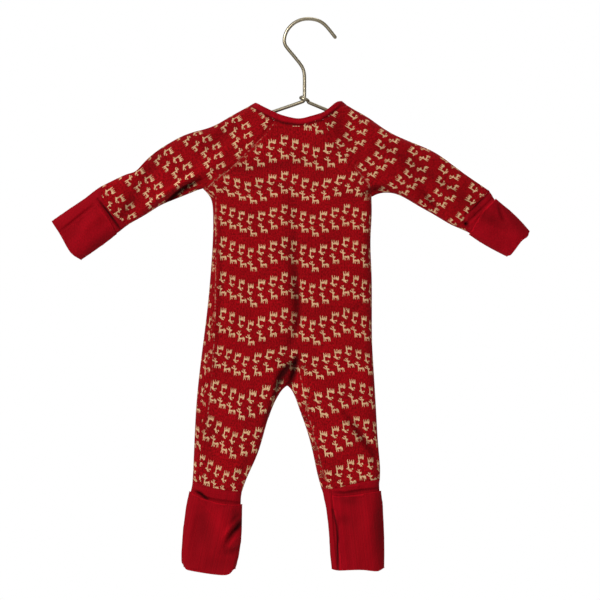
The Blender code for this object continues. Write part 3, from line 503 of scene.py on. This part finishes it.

# Troughs (-) and ridges (+) pressed into the cloth, in millimetres: a line in x and z, how wide
# it is, how deep, and how much painted shade lies along it, a painted highlight where that is
# below nothing. Two widths are those of its two sides.
creases = {
    "shown": [
        # trunk: slack down its middle and by the left seam, pulls across its yoke and right side
        {"line": [(-16, -202), (-15, -240), (-15.5, -290), (-12.7, -318), (-13, -342),
                  (-17, -356), (-22, -368), (-27, -384)],
         "width": (9, 4), "depth": -4.6, "shade": 0.28},
        {"line": [(-16, -272), (-12.7, -315), (-12.7, -340), (-17, -356), (-22, -366)],
         "width": (5, 2), "depth": -2.4, "shade": 0.34},
        {"line": [(-98, -190), (-60, -189), (-20, -188), (30, -189)],
         "width": 3.5, "depth": -1.5, "shade": 0.14},
        {"line": [(-89, -202), (-91.5, -348), (-98, -449)], "width": 3.5, "depth": 1.0},
        {"line": [(-98, -215), (-98, -269), (-99, -314), (-102, -365), (-104, -427)],
         "width": 3.6, "depth": -2.2},
        {"line": [(-106, -172), (-72, -167), (-39, -164), (-5, -159), (25, -158)],
         "width": 5, "depth": -2.8, "shade": 0.2},
        {"line": [(24, -104), (34, -123), (48, -146)], "width": 12, "depth": -2.4, "shade": 0.24},
        {"line": [(4, -348), (34, -335), (68, -323)], "width": 3, "depth": 1.3},
        {"line": [(10, -335), (40, -321), (68, -314)], "width": 3, "depth": 1.2},
        {"line": [(6, -343), (38, -328), (68, -318)], "width": 2.5, "depth": -1.2, "shade": 0.1},
        # under the neck binding
        {"line": [(-66, -96), (-53, -105), (-40.6, -111.9), (-29.4, -116), (-15.1, -118.1),
                  (-2.8, -117.7), (13.6, -113), (25.9, -104.7), (35.1, -95.6), (41, -88)],
         "width": 1.2, "depth": -0.8, "shade": 0.75},
        # crotch
        {"line": [(-13, -378), (-15, -385), (-17, -395), (-21, -407), (-24, -414)],
         "width": 3.0, "depth": -7.2, "shade": 0.88},
        {"line": [(-15, -381), (-26, -391), (-33, -400), (-37, -412), (-39, -420)],
         "width": 3.4, "depth": -4.6, "shade": 0.8},
        {"line": [(-20, -386), (-26, -398), (-31, -411)],
         "width": 6.0, "depth": -1.0, "shade": 0.45},
        {"line": [(-32, -404), (-41, -427), (-52, -456)],
         "width": 2.6, "depth": -0.6, "shade": 0.45},
        # legs
        {"line": [(40, -441), (51.4, -457), (62.3, -474), (71.7, -485), (80, -494)],
         "width": 3.2, "depth": -5.6, "shade": 0.5},
        {"line": [(53.7, -450), (63.8, -465), (76.2, -482)], "width": 4, "depth": 2.4},
        {"line": [(55, -495), (73, -506)], "width": 5, "depth": 2.2},
        {"line": [(69.4, -483), (77, -506), (79, -522)], "width": 5, "depth": -2.6, "shade": 0.25},
        {"line": [(-91.5, -466), (-94, -508)], "width": 8, "depth": 2.4},
        {"line": [(-64.5, -485), (-74.6, -506), (-78, -521)],
         "width": 5, "depth": -2.4, "shade": 0.2},
        {"line": [(-108, -440), (-112, -480), (-116, -512)], "width": 7, "depth": -1.8},
        {"line": [(34, -455), (42, -490), (50, -515)], "width": 8, "depth": 1.4},
        # left sleeve: the deep fold under its arm with a ridge over it, and pulls from the shoulder
        {"line": [(-115, -177), (-129, -181), (-143, -189)],
         "width": (2.2, 4.5), "depth": -5.0, "shade": 0.4},
        {"line": [(-133, -184), (-142, -188.5), (-150, -194.5), (-157, -201), (-166, -209)],
         "width": (2.0, 5.5), "depth": -9.5, "shade": 0.95},
        {"line": [(-112, -166), (-123, -171), (-139, -180), (-155, -190), (-169, -200),
                  (-182, -208.5)],
         "width": 4.2, "depth": 4.6, "shade": -0.3},
        {"line": [(-82, -119), (-103, -134), (-122, -150)],
         "width": 7, "depth": -3.4, "shade": 0.22},
        {"line": [(-48, -114), (-84, -140), (-118, -163)], "width": 7, "depth": 2.4},
        {"line": [(-162, -134), (-176, -160), (-187, -182), (-200, -196)],
         "width": 8, "depth": -3.2, "shade": 0.3},
        {"line": [(-194, -195), (-203, -210), (-213, -226)],
         "width": 6, "depth": -3.4, "shade": 0.45},
        {"line": [(-227.6, -181), (-211, -181), (-194, -178)], "width": 6, "depth": 2.2},
        {"line": [(-70, -102), (-120, -124), (-165, -154)],
         "width": 9, "depth": -0.5, "shade": 0.12},
        # right sleeve
        {"line": [(62, -196), (68, -193), (76, -190), (88, -190)],
         "width": 4, "depth": -5.6, "shade": 0.55},
        {"line": [(130, -194), (137, -203), (144, -211)],
         "width": 2.4, "depth": -4.2, "shade": 0.3},
        {"line": [(123, -179), (137, -208)], "width": 7, "depth": -2.1},
        {"line": [(100, -155), (115.5, -170), (126, -188)], "width": 6, "depth": -1.6},
        {"line": [(66, -134), (112, -158), (160, -190), (206, -224)],
         "width": 6, "depth": -0.8, "shade": 0.2},
    ],
    "hidden": [
        {"line": [(-60, -420), (-84, -448), (-104, -470)], "width": 4, "depth": -3.8},
        {"line": [(16, -425), (38, -450), (58, -476)], "width": 4, "depth": -3.8},
        {"line": [(-86, -195), (-56, -222), (-30, -240)], "width": 7, "depth": -2.1},
        {"line": [(54, -200), (34, -226), (14, -246)], "width": 7, "depth": -2.1},
        {"line": [(-70, -290), (-66, -340), (-74, -390)], "width": 8, "depth": -1.9},
        {"line": [(40, -280), (44, -330), (38, -380)], "width": 8, "depth": -1.9},
        {"line": [(-118, -158), (-140, -178), (-165, -192)], "width": 5, "depth": -3.5},
        {"line": [(92, -152), (118, -176), (140, -196)], "width": 5, "depth": -3.5},
        {"line": [(-13, -377), (-11, -392), (-9, -408)], "width": 3, "depth": -5.6},
    ],
    "neckband": [
        {"line": [(-40, -108), (-29.4, -112), (-15.1, -114), (-2.8, -113.6), (12.5, -109.5),
                  (24, -102), (33.5, -93.5)],
         "width": 1.5, "depth": 0.5, "shade": -0.3},
    ],
    "ankle_flap_left": [
        {"line": [(-104, -546), (-100, -562), (-96, -582)],
         "width": 8, "depth": 2.6, "shade": -0.28},
        {"line": [(-119, -543), (-112, -551), (-104, -560)],
         "width": 1.8, "depth": 1.2, "shade": -0.12},
        {"line": [(-121, -549), (-118, -565), (-115, -590)],
         "width": 7, "depth": -2.0, "shade": 0.22},
        {"line": [(-82, -546), (-81, -560), (-79, -577)],
         "width": 6.5, "depth": -2.6, "shade": 0.42},
        {"line": [(-80, -556), (-85, -562), (-91, -570)],
         "width": 2.4, "depth": -1.4, "shade": 0.25},
        {"line": [(-72, -560), (-80, -569), (-86, -575), (-90, -582), (-95, -591)],
         "width": 2.8, "depth": -4.4, "shade": 0.7},
        {"line": [(-80, -560), (-89, -569), (-97, -581)],
         "width": 2.4, "depth": 2.8, "shade": -0.3},
        {"line": [(-76, -577), (-84, -583), (-90, -590)], "width": 3, "depth": 2.4, "shade": -0.3},
        {"line": [(-72, -589), (-84, -596), (-98, -598)],
         "width": 4.0, "depth": -2.6, "shade": 0.36},
        {"line": [(-120, -608), (-100, -611), (-82, -608)],
         "width": 7, "depth": -1.6, "shade": 0.14},
        {"line": [(-125, -551), (-127.5, -584), (-132, -609)],
         "width": 6, "depth": -2.2, "shade": 0.12},
    ],
    "ankle_cuff_left": [
        {"line": [(-130, -528), (-121, -533), (-115, -537), (-98, -540), (-78, -542.5)],
         "width": 1.2, "depth": -2.0, "shade": 0.4},
        {"line": [(-127, -529), (-121.5, -532), (-117, -536), (-114, -537.5)],
         "width": 1.6, "depth": -3.4, "shade": 0.9},
        {"line": [(-128, -524), (-105, -530), (-84, -532)],
         "width": 3, "depth": 1.2, "shade": -0.1},
    ],
    "ankle_flap_right": [
        {"line": [(33, -536), (44, -540), (56, -540)], "width": 5, "depth": -1.4, "shade": 0.26},
        {"line": [(31, -560), (40, -561), (48, -566)], "width": 6, "depth": -2.0, "shade": 0.24},
        {"line": [(60, -538), (67, -556), (66, -580)], "width": 7, "depth": 2.0},
        {"line": [(26.5, -550), (30.9, -567.6), (32, -581.6), (31.6, -590), (32.3, -622)],
         "width": 1.3, "depth": -0.8, "shade": 0.9},
        {"line": [(42, -575), (44, -612)], "width": 7, "depth": -1.6},
        {"line": [(79, -530), (80, -575), (80, -618)], "width": 7, "depth": -2.4, "shade": 0.42},
        {"line": [(57, -575), (56, -612)], "width": 8, "depth": 1.3},
    ],
    "ankle_cuff_right": [
        {"line": [(24, -530), (40, -531), (60, -528), (80, -526)],
         "width": 1.5, "depth": -2.4, "shade": 0.5},
        {"line": [(30, -519), (55, -522), (78, -516)], "width": 3, "depth": 1.4, "shade": -0.12},
        {"line": [(25.2, -532), (27.6, -573), (31.8, -619)],
         "width": 1.0, "depth": -1.6, "shade": 0.3},
    ],
    "wrist_flap_left": [
        {"line": [(-240, -206), (-229, -220), (-217, -237)],
         "width": 2, "depth": 1.6, "shade": -0.2},
        {"line": [(-251, -218), (-262.5, -238), (-269, -251)],
         "width": 6, "depth": -1.9, "shade": 0.12},
        {"line": [(-211, -233), (-234, -249), (-253, -266)],
         "width": 6, "depth": -2.2, "shade": 0.3},
        {"line": [(-233, -219), (-250, -232), (-264, -246)],
         "width": 7, "depth": 2.2, "shade": -0.1},
    ],
    "wrist_cuff_left": [
        {"line": [(-237.5, -201), (-225, -217), (-210, -238)],
         "width": 1.2, "depth": -3.0, "shade": 0.95},
        {"line": [(-238, -204), (-259, -221), (-280, -238)], "width": 1.6, "depth": -1.6},
    ],
    "wrist_flap_right": [
        {"line": [(209, -202), (194, -216), (178, -231)],
         "width": 1.5, "depth": 1.2, "shade": -0.3},
        {"line": [(213.4, -209), (215.7, -218), (219.6, -226)],
         "width": 2.4, "depth": -3, "shade": 0.25},
        {"line": [(192, -220), (209, -226), (227, -236)], "width": 6, "depth": -2.6, "shade": 0.15},
        {"line": [(221, -239), (237, -247)], "width": 6, "depth": 1.8},
        {"line": [(214, -200), (230, -222), (244, -242)], "width": 7, "depth": -2.0, "shade": 0.28},
    ],
    "wrist_cuff_right": [
        {"line": [(206.5, -199.5), (191.5, -214), (176, -229)],
         "width": 1.2, "depth": -1.6, "shade": 0.2},
        {"line": [(204, -192.5), (189, -206), (173, -220.5)],
         "width": 1.3, "depth": -1.4, "shade": 0.6},
        {"line": [(174, -227), (178.5, -231)], "width": 2.4, "depth": -4.2, "shade": 0.85},
    ],
}

# Where the cloth sits off the line of the solids, how far it moves, and how far round that reaches
warps = [
    {"place": (-216, -236), "move": (9.0, 5.5), "reach": 15,
     "nodes": ("sleeve_left", "wrist_cuff_left")},
    {"place": (-195, -168), "move": (0.4, -2.6), "reach": 9},
    {"place": (17, -101), "move": (0.6, -3.4), "reach": 12},        # the right of the neck
    {"place": (245, -240), "move": (1.5, -3.0), "reach": 7},        # corners of the cuffs
    {"place": (-143.7, -615.4), "move": (2.4, 1.8), "reach": 4},
    {"place": (-61.1, -91.7), "move": (0, -0.5), "reach": 3.6},     # those of the neck
    {"place": (36.2, -91.1), "move": (0, -0.5), "reach": 3.6},
]

# Seams whose print is pulled apart into specks, with bits of sewing thread
frayedSeams = [
    [(-39, -116), (-50, -130), (-60.5, -140), (-70, -149), (-81, -160), (-94, -172), (-104, -179),
     (-117, -191)],
    [(-105, -196), (-105, -269), (-106, -348), (-109.5, -404), (-116, -461)],
    [(-13.8, -382), (-0.3, -446), (17.7, -517)],
    [(50, -165), (67, -184), (69.4, -199)],
]

# The unprinted spot where the size label was, and the soft waves all over: height, length, seed
bareSpot = {"x": -27, "halfWidth": 18, "bottom": -128}
slackWaves = [(0.8, 34, 3), (0.3, 13, 8)]


def smooth(x):
    x = np.clip(x, 0, 1)
    return x * x * (3 - 2 * x)


def halfDepth(x, z):
    # half the garment's depth away from its fold lines, in millimetres
    body = fullness["body"]
    legTop, legLength = fullness["legs"]
    armStart, armLength = fullness["arms"]
    leg = smooth((-z - legTop) / legLength)
    arm = smooth((np.abs(x - fullness["middle"]) - armStart) / armLength) * (1 - leg)
    return body - (body - fullness["wrist"]) * arm - (body - fullness["ankle"]) * leg


def unrolled(x, y, z):
    # how much longer the cloth is than it looks where it rolls over a fold
    depth, roll = halfDepth(x, z), fullness["roll"]
    total = math.pi / 2 * np.sqrt((depth ** 2 + roll ** 2) / 2) - roll
    turn = np.arcsin(np.clip(np.abs(y) / depth, 0, 1))
    gained = turn / (math.pi / 2) * (total + roll) - roll * (1 - np.cos(turn))
    return np.maximum(total - gained, 0)


def foldLine(along, across, picked, lowest):
    # the outermost place of the fold at each step along it, as a function
    order = np.argsort(along[picked])
    a, c = along[picked][order], across[picked][order]
    where = np.digitize(a, np.linspace(a[0], a[-1] + 1e-6, 40))
    steps = np.unique(where)
    middles = np.array([a[where == step].mean() for step in steps])
    outermost = np.min if lowest else np.max
    ends = np.array([outermost(c[where == step]) for step in steps])
    return lambda place: np.interp(place, middles, ends)


def laySleeve(plan, isLeft, px, pz, nx, nz, y):
    up = math.radians(plan["up"])
    ux, uz = math.cos(up), math.sin(up)
    rx, rz = uz, -ux                        # to the right of the print's up
    along = (px - plan["x"]) * ux + (pz - plan["z"]) * uz
    across = (px - plan["x"]) * rx + (pz - plan["z"]) * rz
    outer = (nx * rx + nz * rz) * (-1 if isLeft else 1) > 0.3
    fold = foldLine(along, across, (np.abs(y) < 1.5) & outer, isLeft)
    across = np.where(y < 0, across, 2 * fold(along) - across)
    return across + plan["u"], along + plan["v"]


def layCloth(node, points, normals):
    # places on the flat cloth, in millimetres, for points of the hung cloth
    x, y, z = points.T
    extra = unrolled(x, y, z)
    flat = np.hypot(normals[:, 0], normals[:, 2]) + 1e-6
    nx, nz = normals[:, 0] / flat, normals[:, 2] / flat
    px, pz = x + nx * extra, z + nz * extra
    if node in ("sleeve_left", "sleeve_right"):
        return laySleeve(layPlan[node], node == "sleeve_left", px, pz, nx, nz, y)
    plan, legs = layPlan["body"], layPlan["legs"]
    left, right = layPlan["leftLeg"], layPlan["rightLeg"]
    toRight = smooth((x - legs["between"][0]) / legs["between"][1])
    leg = {key: left[key] + (right[key] - left[key]) * toRight for key in left}
    wide = 1 + plan["yoke"] * smooth((z - plan["yokeFrom"][0]) / plan["yokeFrom"][1])
    u = (px - plan["x"]) / wide + leg["lean"] * np.maximum(-z - legs["lean"], 0)
    u += leg["lower"] * np.maximum(-z - legs["lower"], 0)
    rows = np.array(layPlan["rows"])
    repeats = (layPlan["firstRow"] - np.arange(len(rows))) * reindeer["bandPitch"]
    tilted = leg["tilt"] * smooth((-z - legs["tilt"][0]) / legs["tilt"][1])
    v = np.interp(-pz, -rows, repeats) + tilted * (u - leg["u"])
    if node == "gusset":
        return np.where(y < 0, u, layPlan[node] - u), v
    if node in ("front_left", "front_right"):
        fold = (np.abs(y) < 1.5) & (nx < -0.3)
        if node == "front_right":
            fold = (np.abs(y) < 1.5) & (nx < 0.3) & (z < layPlan["inseamTop"])
        over = u - 2 * foldLine(z, u, fold, True)(z)
        return np.where(y < 0, over, -u) + layPlan[node], v
    return u, v


def fromLine(points, line):
    # how far each point is from a line in x and z, on which side, and how far along it, 0 to 1
    line = np.array(line, float)
    place = points[:, [0, 2]]
    best, side, where = np.full(len(points), 1e9), np.ones(len(points)), np.zeros(len(points))
    reach = np.concatenate([[0], np.cumsum(np.hypot(*np.diff(line, axis=0).T))])
    for k, (a, b) in enumerate(zip(line, line[1:])):
        run = b - a
        share = np.clip(((place - a) @ run) / (run @ run), 0, 1)
        off = place - a - share[:, None] * run
        gap = np.hypot(*off.T)
        closer = gap < best
        best[closer] = gap[closer]
        side[closer] = np.sign(run[1] * off[:, 0] - run[0] * off[:, 1])[closer]
        where[closer] = (reach[k] + share * (reach[k + 1] - reach[k]))[closer] / reach[-1]
    return best, side, where


def pressCreases(points, lines):
    # how far each point stands out or in, in millimetres, and its painted shade, a painted
    # highlight below nothing
    shift, shade = np.zeros(len(points)), np.zeros(len(points))
    for crease in lines:
        gap, side, where = fromLine(points, crease["line"])
        width = crease["width"]
        if isinstance(width, tuple):
            width = np.where(side > 0, width[0], width[1])
        taper = np.sin(np.clip(where, 0.06, 0.94) * math.pi) ** 0.5
        shape = np.exp(-(gap / width) ** 2) * taper
        shift += crease["depth"] * shape
        depth = crease["depth"]
        # unless a crease gives its own, troughs get painted shade and ridges a painted highlight
        shade += crease.get("shade", -depth / (16 if depth < 0 else 26)) * shape
    return shift, np.clip(shade, -0.4, 0.88)


def ripples(points, length, seed):
    # soft uneven waves of about the given length, from -1 to 1
    rng = np.random.default_rng(seed)
    total = np.zeros(len(points))
    for _ in range(9):
        turn, phase = rng.uniform(0, 2 * math.pi, 2)
        k = 2 * math.pi / (length * rng.uniform(0.7, 1.6))
        total += np.sin(k * (points[:, 0] * math.cos(turn) + points[:, 2] * math.sin(turn)) + phase)
    return total / 4.2


def cutGrid(bm, pitch):
    for axis in (Vector((1, 0, 0)), Vector((0, 0, 1))):
        ends = [vert.co @ axis for vert in bm.verts]
        for place in np.arange(min(ends) + pitch * mm / 2, max(ends), pitch * mm):
            bmesh.ops.bisect_plane(bm, geom=bm.verts[:] + bm.edges[:] + bm.faces[:],
                                   dist=0.05 * mm, plane_co=axis * place, plane_no=axis)


def clothCopy(node, widen, firm, pitch):
    # a node's solid as one closed mesh of quads, its rims let out until they meet the next piece's
    bm = bmesh.new()
    bm.from_mesh(bpy.data.objects[node].data)
    bmesh.ops.remove_doubles(bm, verts=bm.verts, dist=0.01 * mm)
    bmesh.ops.join_triangles(bm, faces=bm.faces, angle_face_threshold=math.radians(30),
                             angle_shape_threshold=math.radians(60))
    if pitch:
        cutGrid(bm, pitch)
    inside = bm.verts.layers.float.new("inside")
    rim = bm.verts.layers.float.new("rim")
    crease = bm.edges.layers.float.new("crease_edge")
    point = bm.verts.layers.float.new("crease_vert")
    for face in bm.faces:
        face.smooth = True
    for edge in bm.edges:
        if edge.calc_face_angle(0) > math.radians(50):
            edge[crease] = firm
            for vert in edge.verts:
                vert[rim] = 1.0
    moves = {}
    for vert in bm.verts:
        walls, ends = [], []
        for face in vert.link_faces:
            (ends if all(v[rim] > 0.5 for v in face.verts) else walls).append(face)
        facing = sum(face.normal.y * face.calc_center_median().y for face in walls)
        vert[inside] = 1.0 if facing < 0 else 0.0
        if vert[rim] > 0.5 and ends:
            out = sum((face.normal for face in ends), Vector())
            moves[vert] = out.normalized() * widen * mm
            runs = [(edge.other_vert(vert).co - vert.co).normalized()
                    for edge in vert.link_edges if edge[crease] > 0]
            if len(runs) > 2 or len(runs) == 2 and runs[0].dot(runs[1]) > -0.94:
                vert[point] = 1.0
    for vert, move in moves.items():
        vert.co += move
    return bm


def newPiece(name, bm, material, slot, *nodes):
    mesh = bpy.data.meshes.new(name)
    bm.to_mesh(mesh)
    bm.free()
    piece = bpy.data.objects.new(name, mesh)
    bpy.context.collection.objects.link(piece)
    mesh.materials.append(material)
    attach(piece, "root")
    if nodes:
        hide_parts(*nodes)
    return piece


def refine(piece, levels):
    # a subdivision surface, applied
    modifier = piece.modifiers.new("smooth", "SUBSURF")
    modifier.levels = modifier.render_levels = levels
    bpy.context.view_layer.update()
    shaped = piece.evaluated_get(bpy.context.evaluated_depsgraph_get())
    fine = bpy.data.meshes.new_from_object(shaped)
    piece.modifiers.clear()
    coarse = piece.data
    piece.data = fine
    bpy.data.meshes.remove(coarse)
    fine.name = piece.name


def readPoints(mesh):
    points, normals = np.empty(len(mesh.vertices) * 3), np.empty(len(mesh.vertices) * 3)
    mesh.vertices.foreach_get("co", points)
    mesh.vertices.foreach_get("normal", normals)
    return points.reshape(-1, 3) / mm, normals.reshape(-1, 3)


def readField(mesh, name):
    values = np.empty(len(mesh.vertices))
    mesh.attributes[name].data.foreach_get("value", values)
    return values


def writeField(mesh, name, values):
    field = mesh.attributes.get(name) or mesh.attributes.new(name, "FLOAT", "POINT")
    field.data.foreach_set("value", np.asarray(values, np.float32))


def fromRim(points, rim):
    # millimetres from the nearest edge of the piece
    edges = points[rim > 0.93]
    tree = KDTree(len(edges))
    for k, place in enumerate(edges):
        tree.insert(place, k)
    tree.balance()
    seam = np.full(len(points), 20.0)
    for k in np.nonzero(rim > 0.01)[0]:
        seam[k] = tree.find(points[k])[2]
    return seam


def shiftPoints(node, points):
    for warp in warps:
        if node in warp.get("nodes", (node,)):
            gap = points[:, [0, 2]] - warp["place"]
            near = np.hypot(*gap.T) / warp["reach"]
            points[:, [0, 2]] += np.exp(-near ** 2)[:, None] * warp["move"]


def markSeams(mesh, points, seam):
    # how frayed the cloth is, and millimetres to either side of the frayed seam's thread
    gaps, sides, places = np.stack([fromLine(points, line) for line in frayedSeams], 1)
    nearest = gaps.argmin(axis=0), np.arange(len(points))
    shown = points[:, 1] < 0
    along = shown & (places[nearest] > 0) & (places[nearest] < 1)
    thread = np.minimum(gaps[nearest], 8) * sides[nearest]
    writeField(mesh, "seam", seam)
    writeField(mesh, "frayed", np.where(shown, np.exp(-(gaps[nearest] / 7) ** 2), 0.0))
    writeField(mesh, "thread", np.where(along, thread, 8.0))


def pressPoints(node, points, seam, ditch):
    # creases, slack and the ditch of the seam, none of it at the folds
    y = points[:, 1]
    away = smooth(np.abs(y) / np.maximum(halfDepth(points[:, 0], points[:, 2]), 1) * 1.6 - 0.1)
    lines = creases["shown"] + creases.get(node, [])
    if "cuff" in node:                      # its flap's creases press on the cuff too
        lines = lines + creases.get(node.replace("cuff", "flap"), [])
    shown, hidden = pressCreases(points, lines), pressCreases(points, creases["hidden"])
    out, shade = (np.where(y < 0, *pair) for pair in zip(shown, hidden))
    slack = sum(high * ripples(points, length, seed) for high, length, seed in slackWaves)
    out += slack * (0.35 + 0.65 * smooth(seam / 9)) - ditch * np.exp(-(seam / 1.3) ** 2)
    points[:, 1] += np.sign(y) * np.maximum(out * away, -0.8 * np.abs(y))
    return shade


def clothPiece(node, material, slot, widen=0.25, ditch=0.5, firm=0.45, pitch=0.0, levels=3):
    # the rims' gap to close, the ditch at them, how firm their edges are, and how finely it is cut
    copy = clothCopy(node, widen, firm, pitch)
    piece = newPiece(node + "_cloth", copy, material, slot, node)
    refine(piece, levels)
    mesh = piece.data
    points, normals = readPoints(mesh)
    shiftPoints(node, points)
    inside = readField(mesh, "inside")
    u, v = layCloth(node, points, np.where(inside[:, None] > 0.5, -normals, normals))
    if node == "back":                      # the yoke is bare where the size label was
        x, y, z = points.T
        bare = (np.abs(x - bareSpot["x"]) < bareSpot["halfWidth"]) & (z > bareSpot["bottom"])
        writeField(mesh, "inside", np.where(bare & (y < 0), 1.0, inside))
    seam = fromRim(points, readField(mesh, "rim"))
    markSeams(mesh, points, seam)
    writeField(mesh, "shade", pressPoints(node, points, seam, ditch))
    mesh.vertices.foreach_set("co", (points * mm).ravel())
    mesh.update()

    layer = mesh.uv_layers.new(name="cloth")
    loops = np.empty(len(mesh.loops), np.int32)
    mesh.loops.foreach_get("vertex_index", loops)
    layer.data.foreach_set("uv", (np.column_stack([u, v])[loops] * mm).astype(np.float32).ravel())


clothPiece("back", ribPrint, "printed_rib")
for node in ("sleeve_left", "sleeve_right"):
    clothPiece(node, sleevePrint, "printed_rib")
for node in ("gusset", "front_left", "front_right"):
    clothPiece(node, ribPrint, "printed_rib", levels=2)
print("printed panels ready")

for node in ("wrist_cuff_left", "wrist_cuff_right", "ankle_cuff_left", "ankle_cuff_right"):
    clothPiece(node, cuffJersey, "red_jersey", pitch=6.0, levels=2)
# the jersey with a painted highlight on the turned edge goes on three flaps; the left wrist flap
# has the plain jersey
flaps = {
    "wrist_flap_left": cuffJersey,
    "wrist_flap_right": flapJerseyPaintedHighlight,
    "ankle_flap_left": flapJerseyPaintedHighlight,
    "ankle_flap_right": flapJerseyPaintedHighlight,
}
for node, cloth in flaps.items():
    clothPiece(node, cloth, "red_jersey", widen=0.0, ditch=0.0, firm=0.02, pitch=5.0, levels=2)
clothPiece("neckband", cuffJersey, "red_jersey", ditch=0.3, levels=2)
clothPiece("placket", cuffJersey, "red_jersey")
print("cuffs and band ready")

# The hanger's one bent wire, in millimetres: x and z from the hook's tip to where its end turns
# round the shank
hangerWire = {
    "radius": 2.0,
    "sides": 14,
    "bends": [(29.0, -18.7), (25.7, -14.4), (22.4, -10.3), (19.2, -6.4), (15.6, -3.1),
              (11.8, -0.7), (7.5, 0.9), (2.6, 1.8), (-2.7, 2.0), (-8.0, 1.3), (-13.1, -0.5),
              (-17.8, -3.2), (-21.7, -6.8), (-24.9, -11.0), (-27.0, -15.5), (-28.1, -20.0),
              (-28.2, -24.0), (-27.0, -27.8), (-24.8, -31.0), (-18.2, -38.9), (-13.6, -44.5),
              (-9.8, -49.3), (-7.1, -53.8), (-5.7, -59.0), (-5.4, -65.0), (-5.4, -72.0),
              (-5.4, -86.0), (-5.9, -90.0), (-8.2, -91.8), (-160.6, -143.1), (-162.9, -145.2),
              (-163.3, -146.7), (-163.1, -148.3), (-161.0, -150.5), (-159.4, -150.9),
              (136.3, -157.7), (139.1, -156.6), (140.4, -153.7), (139.2, -150.9), (137.9, -150.0),
              (1.0, -93.0), (-1.0, -92.0)],
    "turn": {"centre": -5.4, "radius": 4.1, "bottom": -90.5, "rise": 4.5, "turns": 0.64},
}


def wirePath(plan):
    turn = plan["turn"]
    path = [(x, 0, z) for x, z in plan["bends"]]
    for share in np.linspace(0, 1, 16):
        a = 2 * math.pi * turn["turns"] * share
        x, y = turn["radius"] * math.cos(a), -turn["radius"] * math.sin(a)
        path.append((turn["centre"] + x, y, turn["bottom"] + turn["rise"] * share))
    return np.array(path, float)


def rounded(path):
    # corners cut twice, both ends kept
    for _ in range(2):
        near = 0.75 * path[:-1] + 0.25 * path[1:]
        far = 0.25 * path[:-1] + 0.75 * path[1:]
        middle = np.stack([near, far], 1).reshape(-1, 3)
        path = np.vstack([path[:1], middle[1:-1], path[-1:]])
    return path


def tube(bm, path, radius, sides):
    # a round bar along the path, in millimetres, with domed ends
    runs = np.gradient(path, axis=0)
    runs /= np.linalg.norm(runs, axis=1)[:, None]
    domes = np.radians((75, 50, 25))
    stations = [(0, -math.sin(a), math.cos(a)) for a in domes]
    stations += [(k, 0.0, 1.0) for k in range(len(path))]
    stations += [(len(path) - 1, math.sin(a), math.cos(a)) for a in domes[::-1]]
    normal, last = Vector((0, 1, 0)), None
    for number, (k, beyond, share) in enumerate(stations):
        run = Vector(runs[k])
        normal = (normal - run * run.dot(normal)).normalized()
        turn = Matrix((normal.cross(run), normal, run)).transposed().to_4x4()
        place = Matrix.Translation((Vector(path[k]) + run * beyond * radius) * mm)
        closed = number in (0, len(stations) - 1)
        ring = bmesh.ops.create_circle(bm, cap_ends=closed, segments=sides,
                                       radius=radius * share * mm, matrix=place @ turn)["verts"]
        edges = list({edge for vert in ring for edge in vert.link_edges})
        if last:
            bmesh.ops.bridge_loops(bm, edges=last + edges)
        last = edges
    bmesh.ops.recalc_face_normals(bm, faces=bm.faces)
    for face in bm.faces:
        face.smooth = True


bm = bmesh.new()
tube(bm, rounded(wirePath(hangerWire)), hangerWire["radius"], hangerWire["sides"])
newPiece("hanger_wire", bm, wireMaterial(), "hanger_wire", "hanger")

# three stitches left by the size label, through the back under the binding
labelStitches = {
    "left": -18.4,
    "pitch": 2.9,
    "length": 1.5,
    "z": -119.6,
    "count": 3,
    "radius": 0.35,
    "stands": 0.25,
}
bm = bmesh.new()
backCloth = bpy.data.objects["back_cloth"]
for number in range(labelStitches["count"]):
    path = []
    for share, out in ((0.0, 0.0), (0.5, labelStitches["stands"]), (1.0, 0.0)):
        x = labelStitches["left"] + labelStitches["pitch"] * number
        x += labelStitches["length"] * share
        _, place, _, _ = backCloth.ray_cast((x * mm, -1, labelStitches["z"] * mm), (0, 1, 0))
        path.append((x, place.y / mm - out, labelStitches["z"]))
    tube(bm, rounded(np.array(path)), labelStitches["radius"], 8)
newPiece("label_stitches", bm, threadMaterial(), None)

# press snaps: a cap with a sunk ring and a low button, in shares of its radius and in millimetres
snapCap = {"rim": 0.22, "step": 0.12, "sunk": 0.45, "button": 0.25, "raised": 0.2, "edge": 0.22}
snapFinish = lacquerMaterial()
for number in range(1, 8):
    node = "snap_%d" % number
    low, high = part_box(node)
    centre = (Vector(low) + Vector(high)) / 2
    radius, height = (high[0] - low[0]) / 2, high[1] - low[1]
    bm = bmesh.new()
    bmesh.ops.create_cone(bm, cap_ends=True, segments=40, radius1=radius, radius2=radius,
                          depth=height)
    top = max(bm.faces, key=lambda f: f.calc_center_median().z)
    bmesh.ops.inset_region(bm, faces=[top], thickness=radius * snapCap["rim"])
    bmesh.ops.inset_region(bm, faces=[top], thickness=radius * snapCap["step"],
                           depth=-snapCap["sunk"] * mm)
    bmesh.ops.inset_region(bm, faces=[top], thickness=radius * snapCap["button"],
                           depth=snapCap["raised"] * mm)
    rims = [e for e in bm.edges if e.calc_face_angle(0) > math.radians(25)]
    bmesh.ops.bevel(bm, geom=rims, offset=snapCap["edge"] * mm, segments=3, profile=0.5,
                    affect="EDGES", material=-1)
    toBack = Matrix.Rotation(-math.pi / 2, 3, "X")
    bmesh.ops.rotate(bm, cent=(0, 0, 0), matrix=toBack, verts=bm.verts)
    bmesh.ops.translate(bm, vec=centre, verts=bm.verts)
    for face in bm.faces:
        face.smooth = True
    newPiece("snap_cap_%d" % number, bm, snapFinish, "snap_cap", node)
print("hanger and snaps ready")
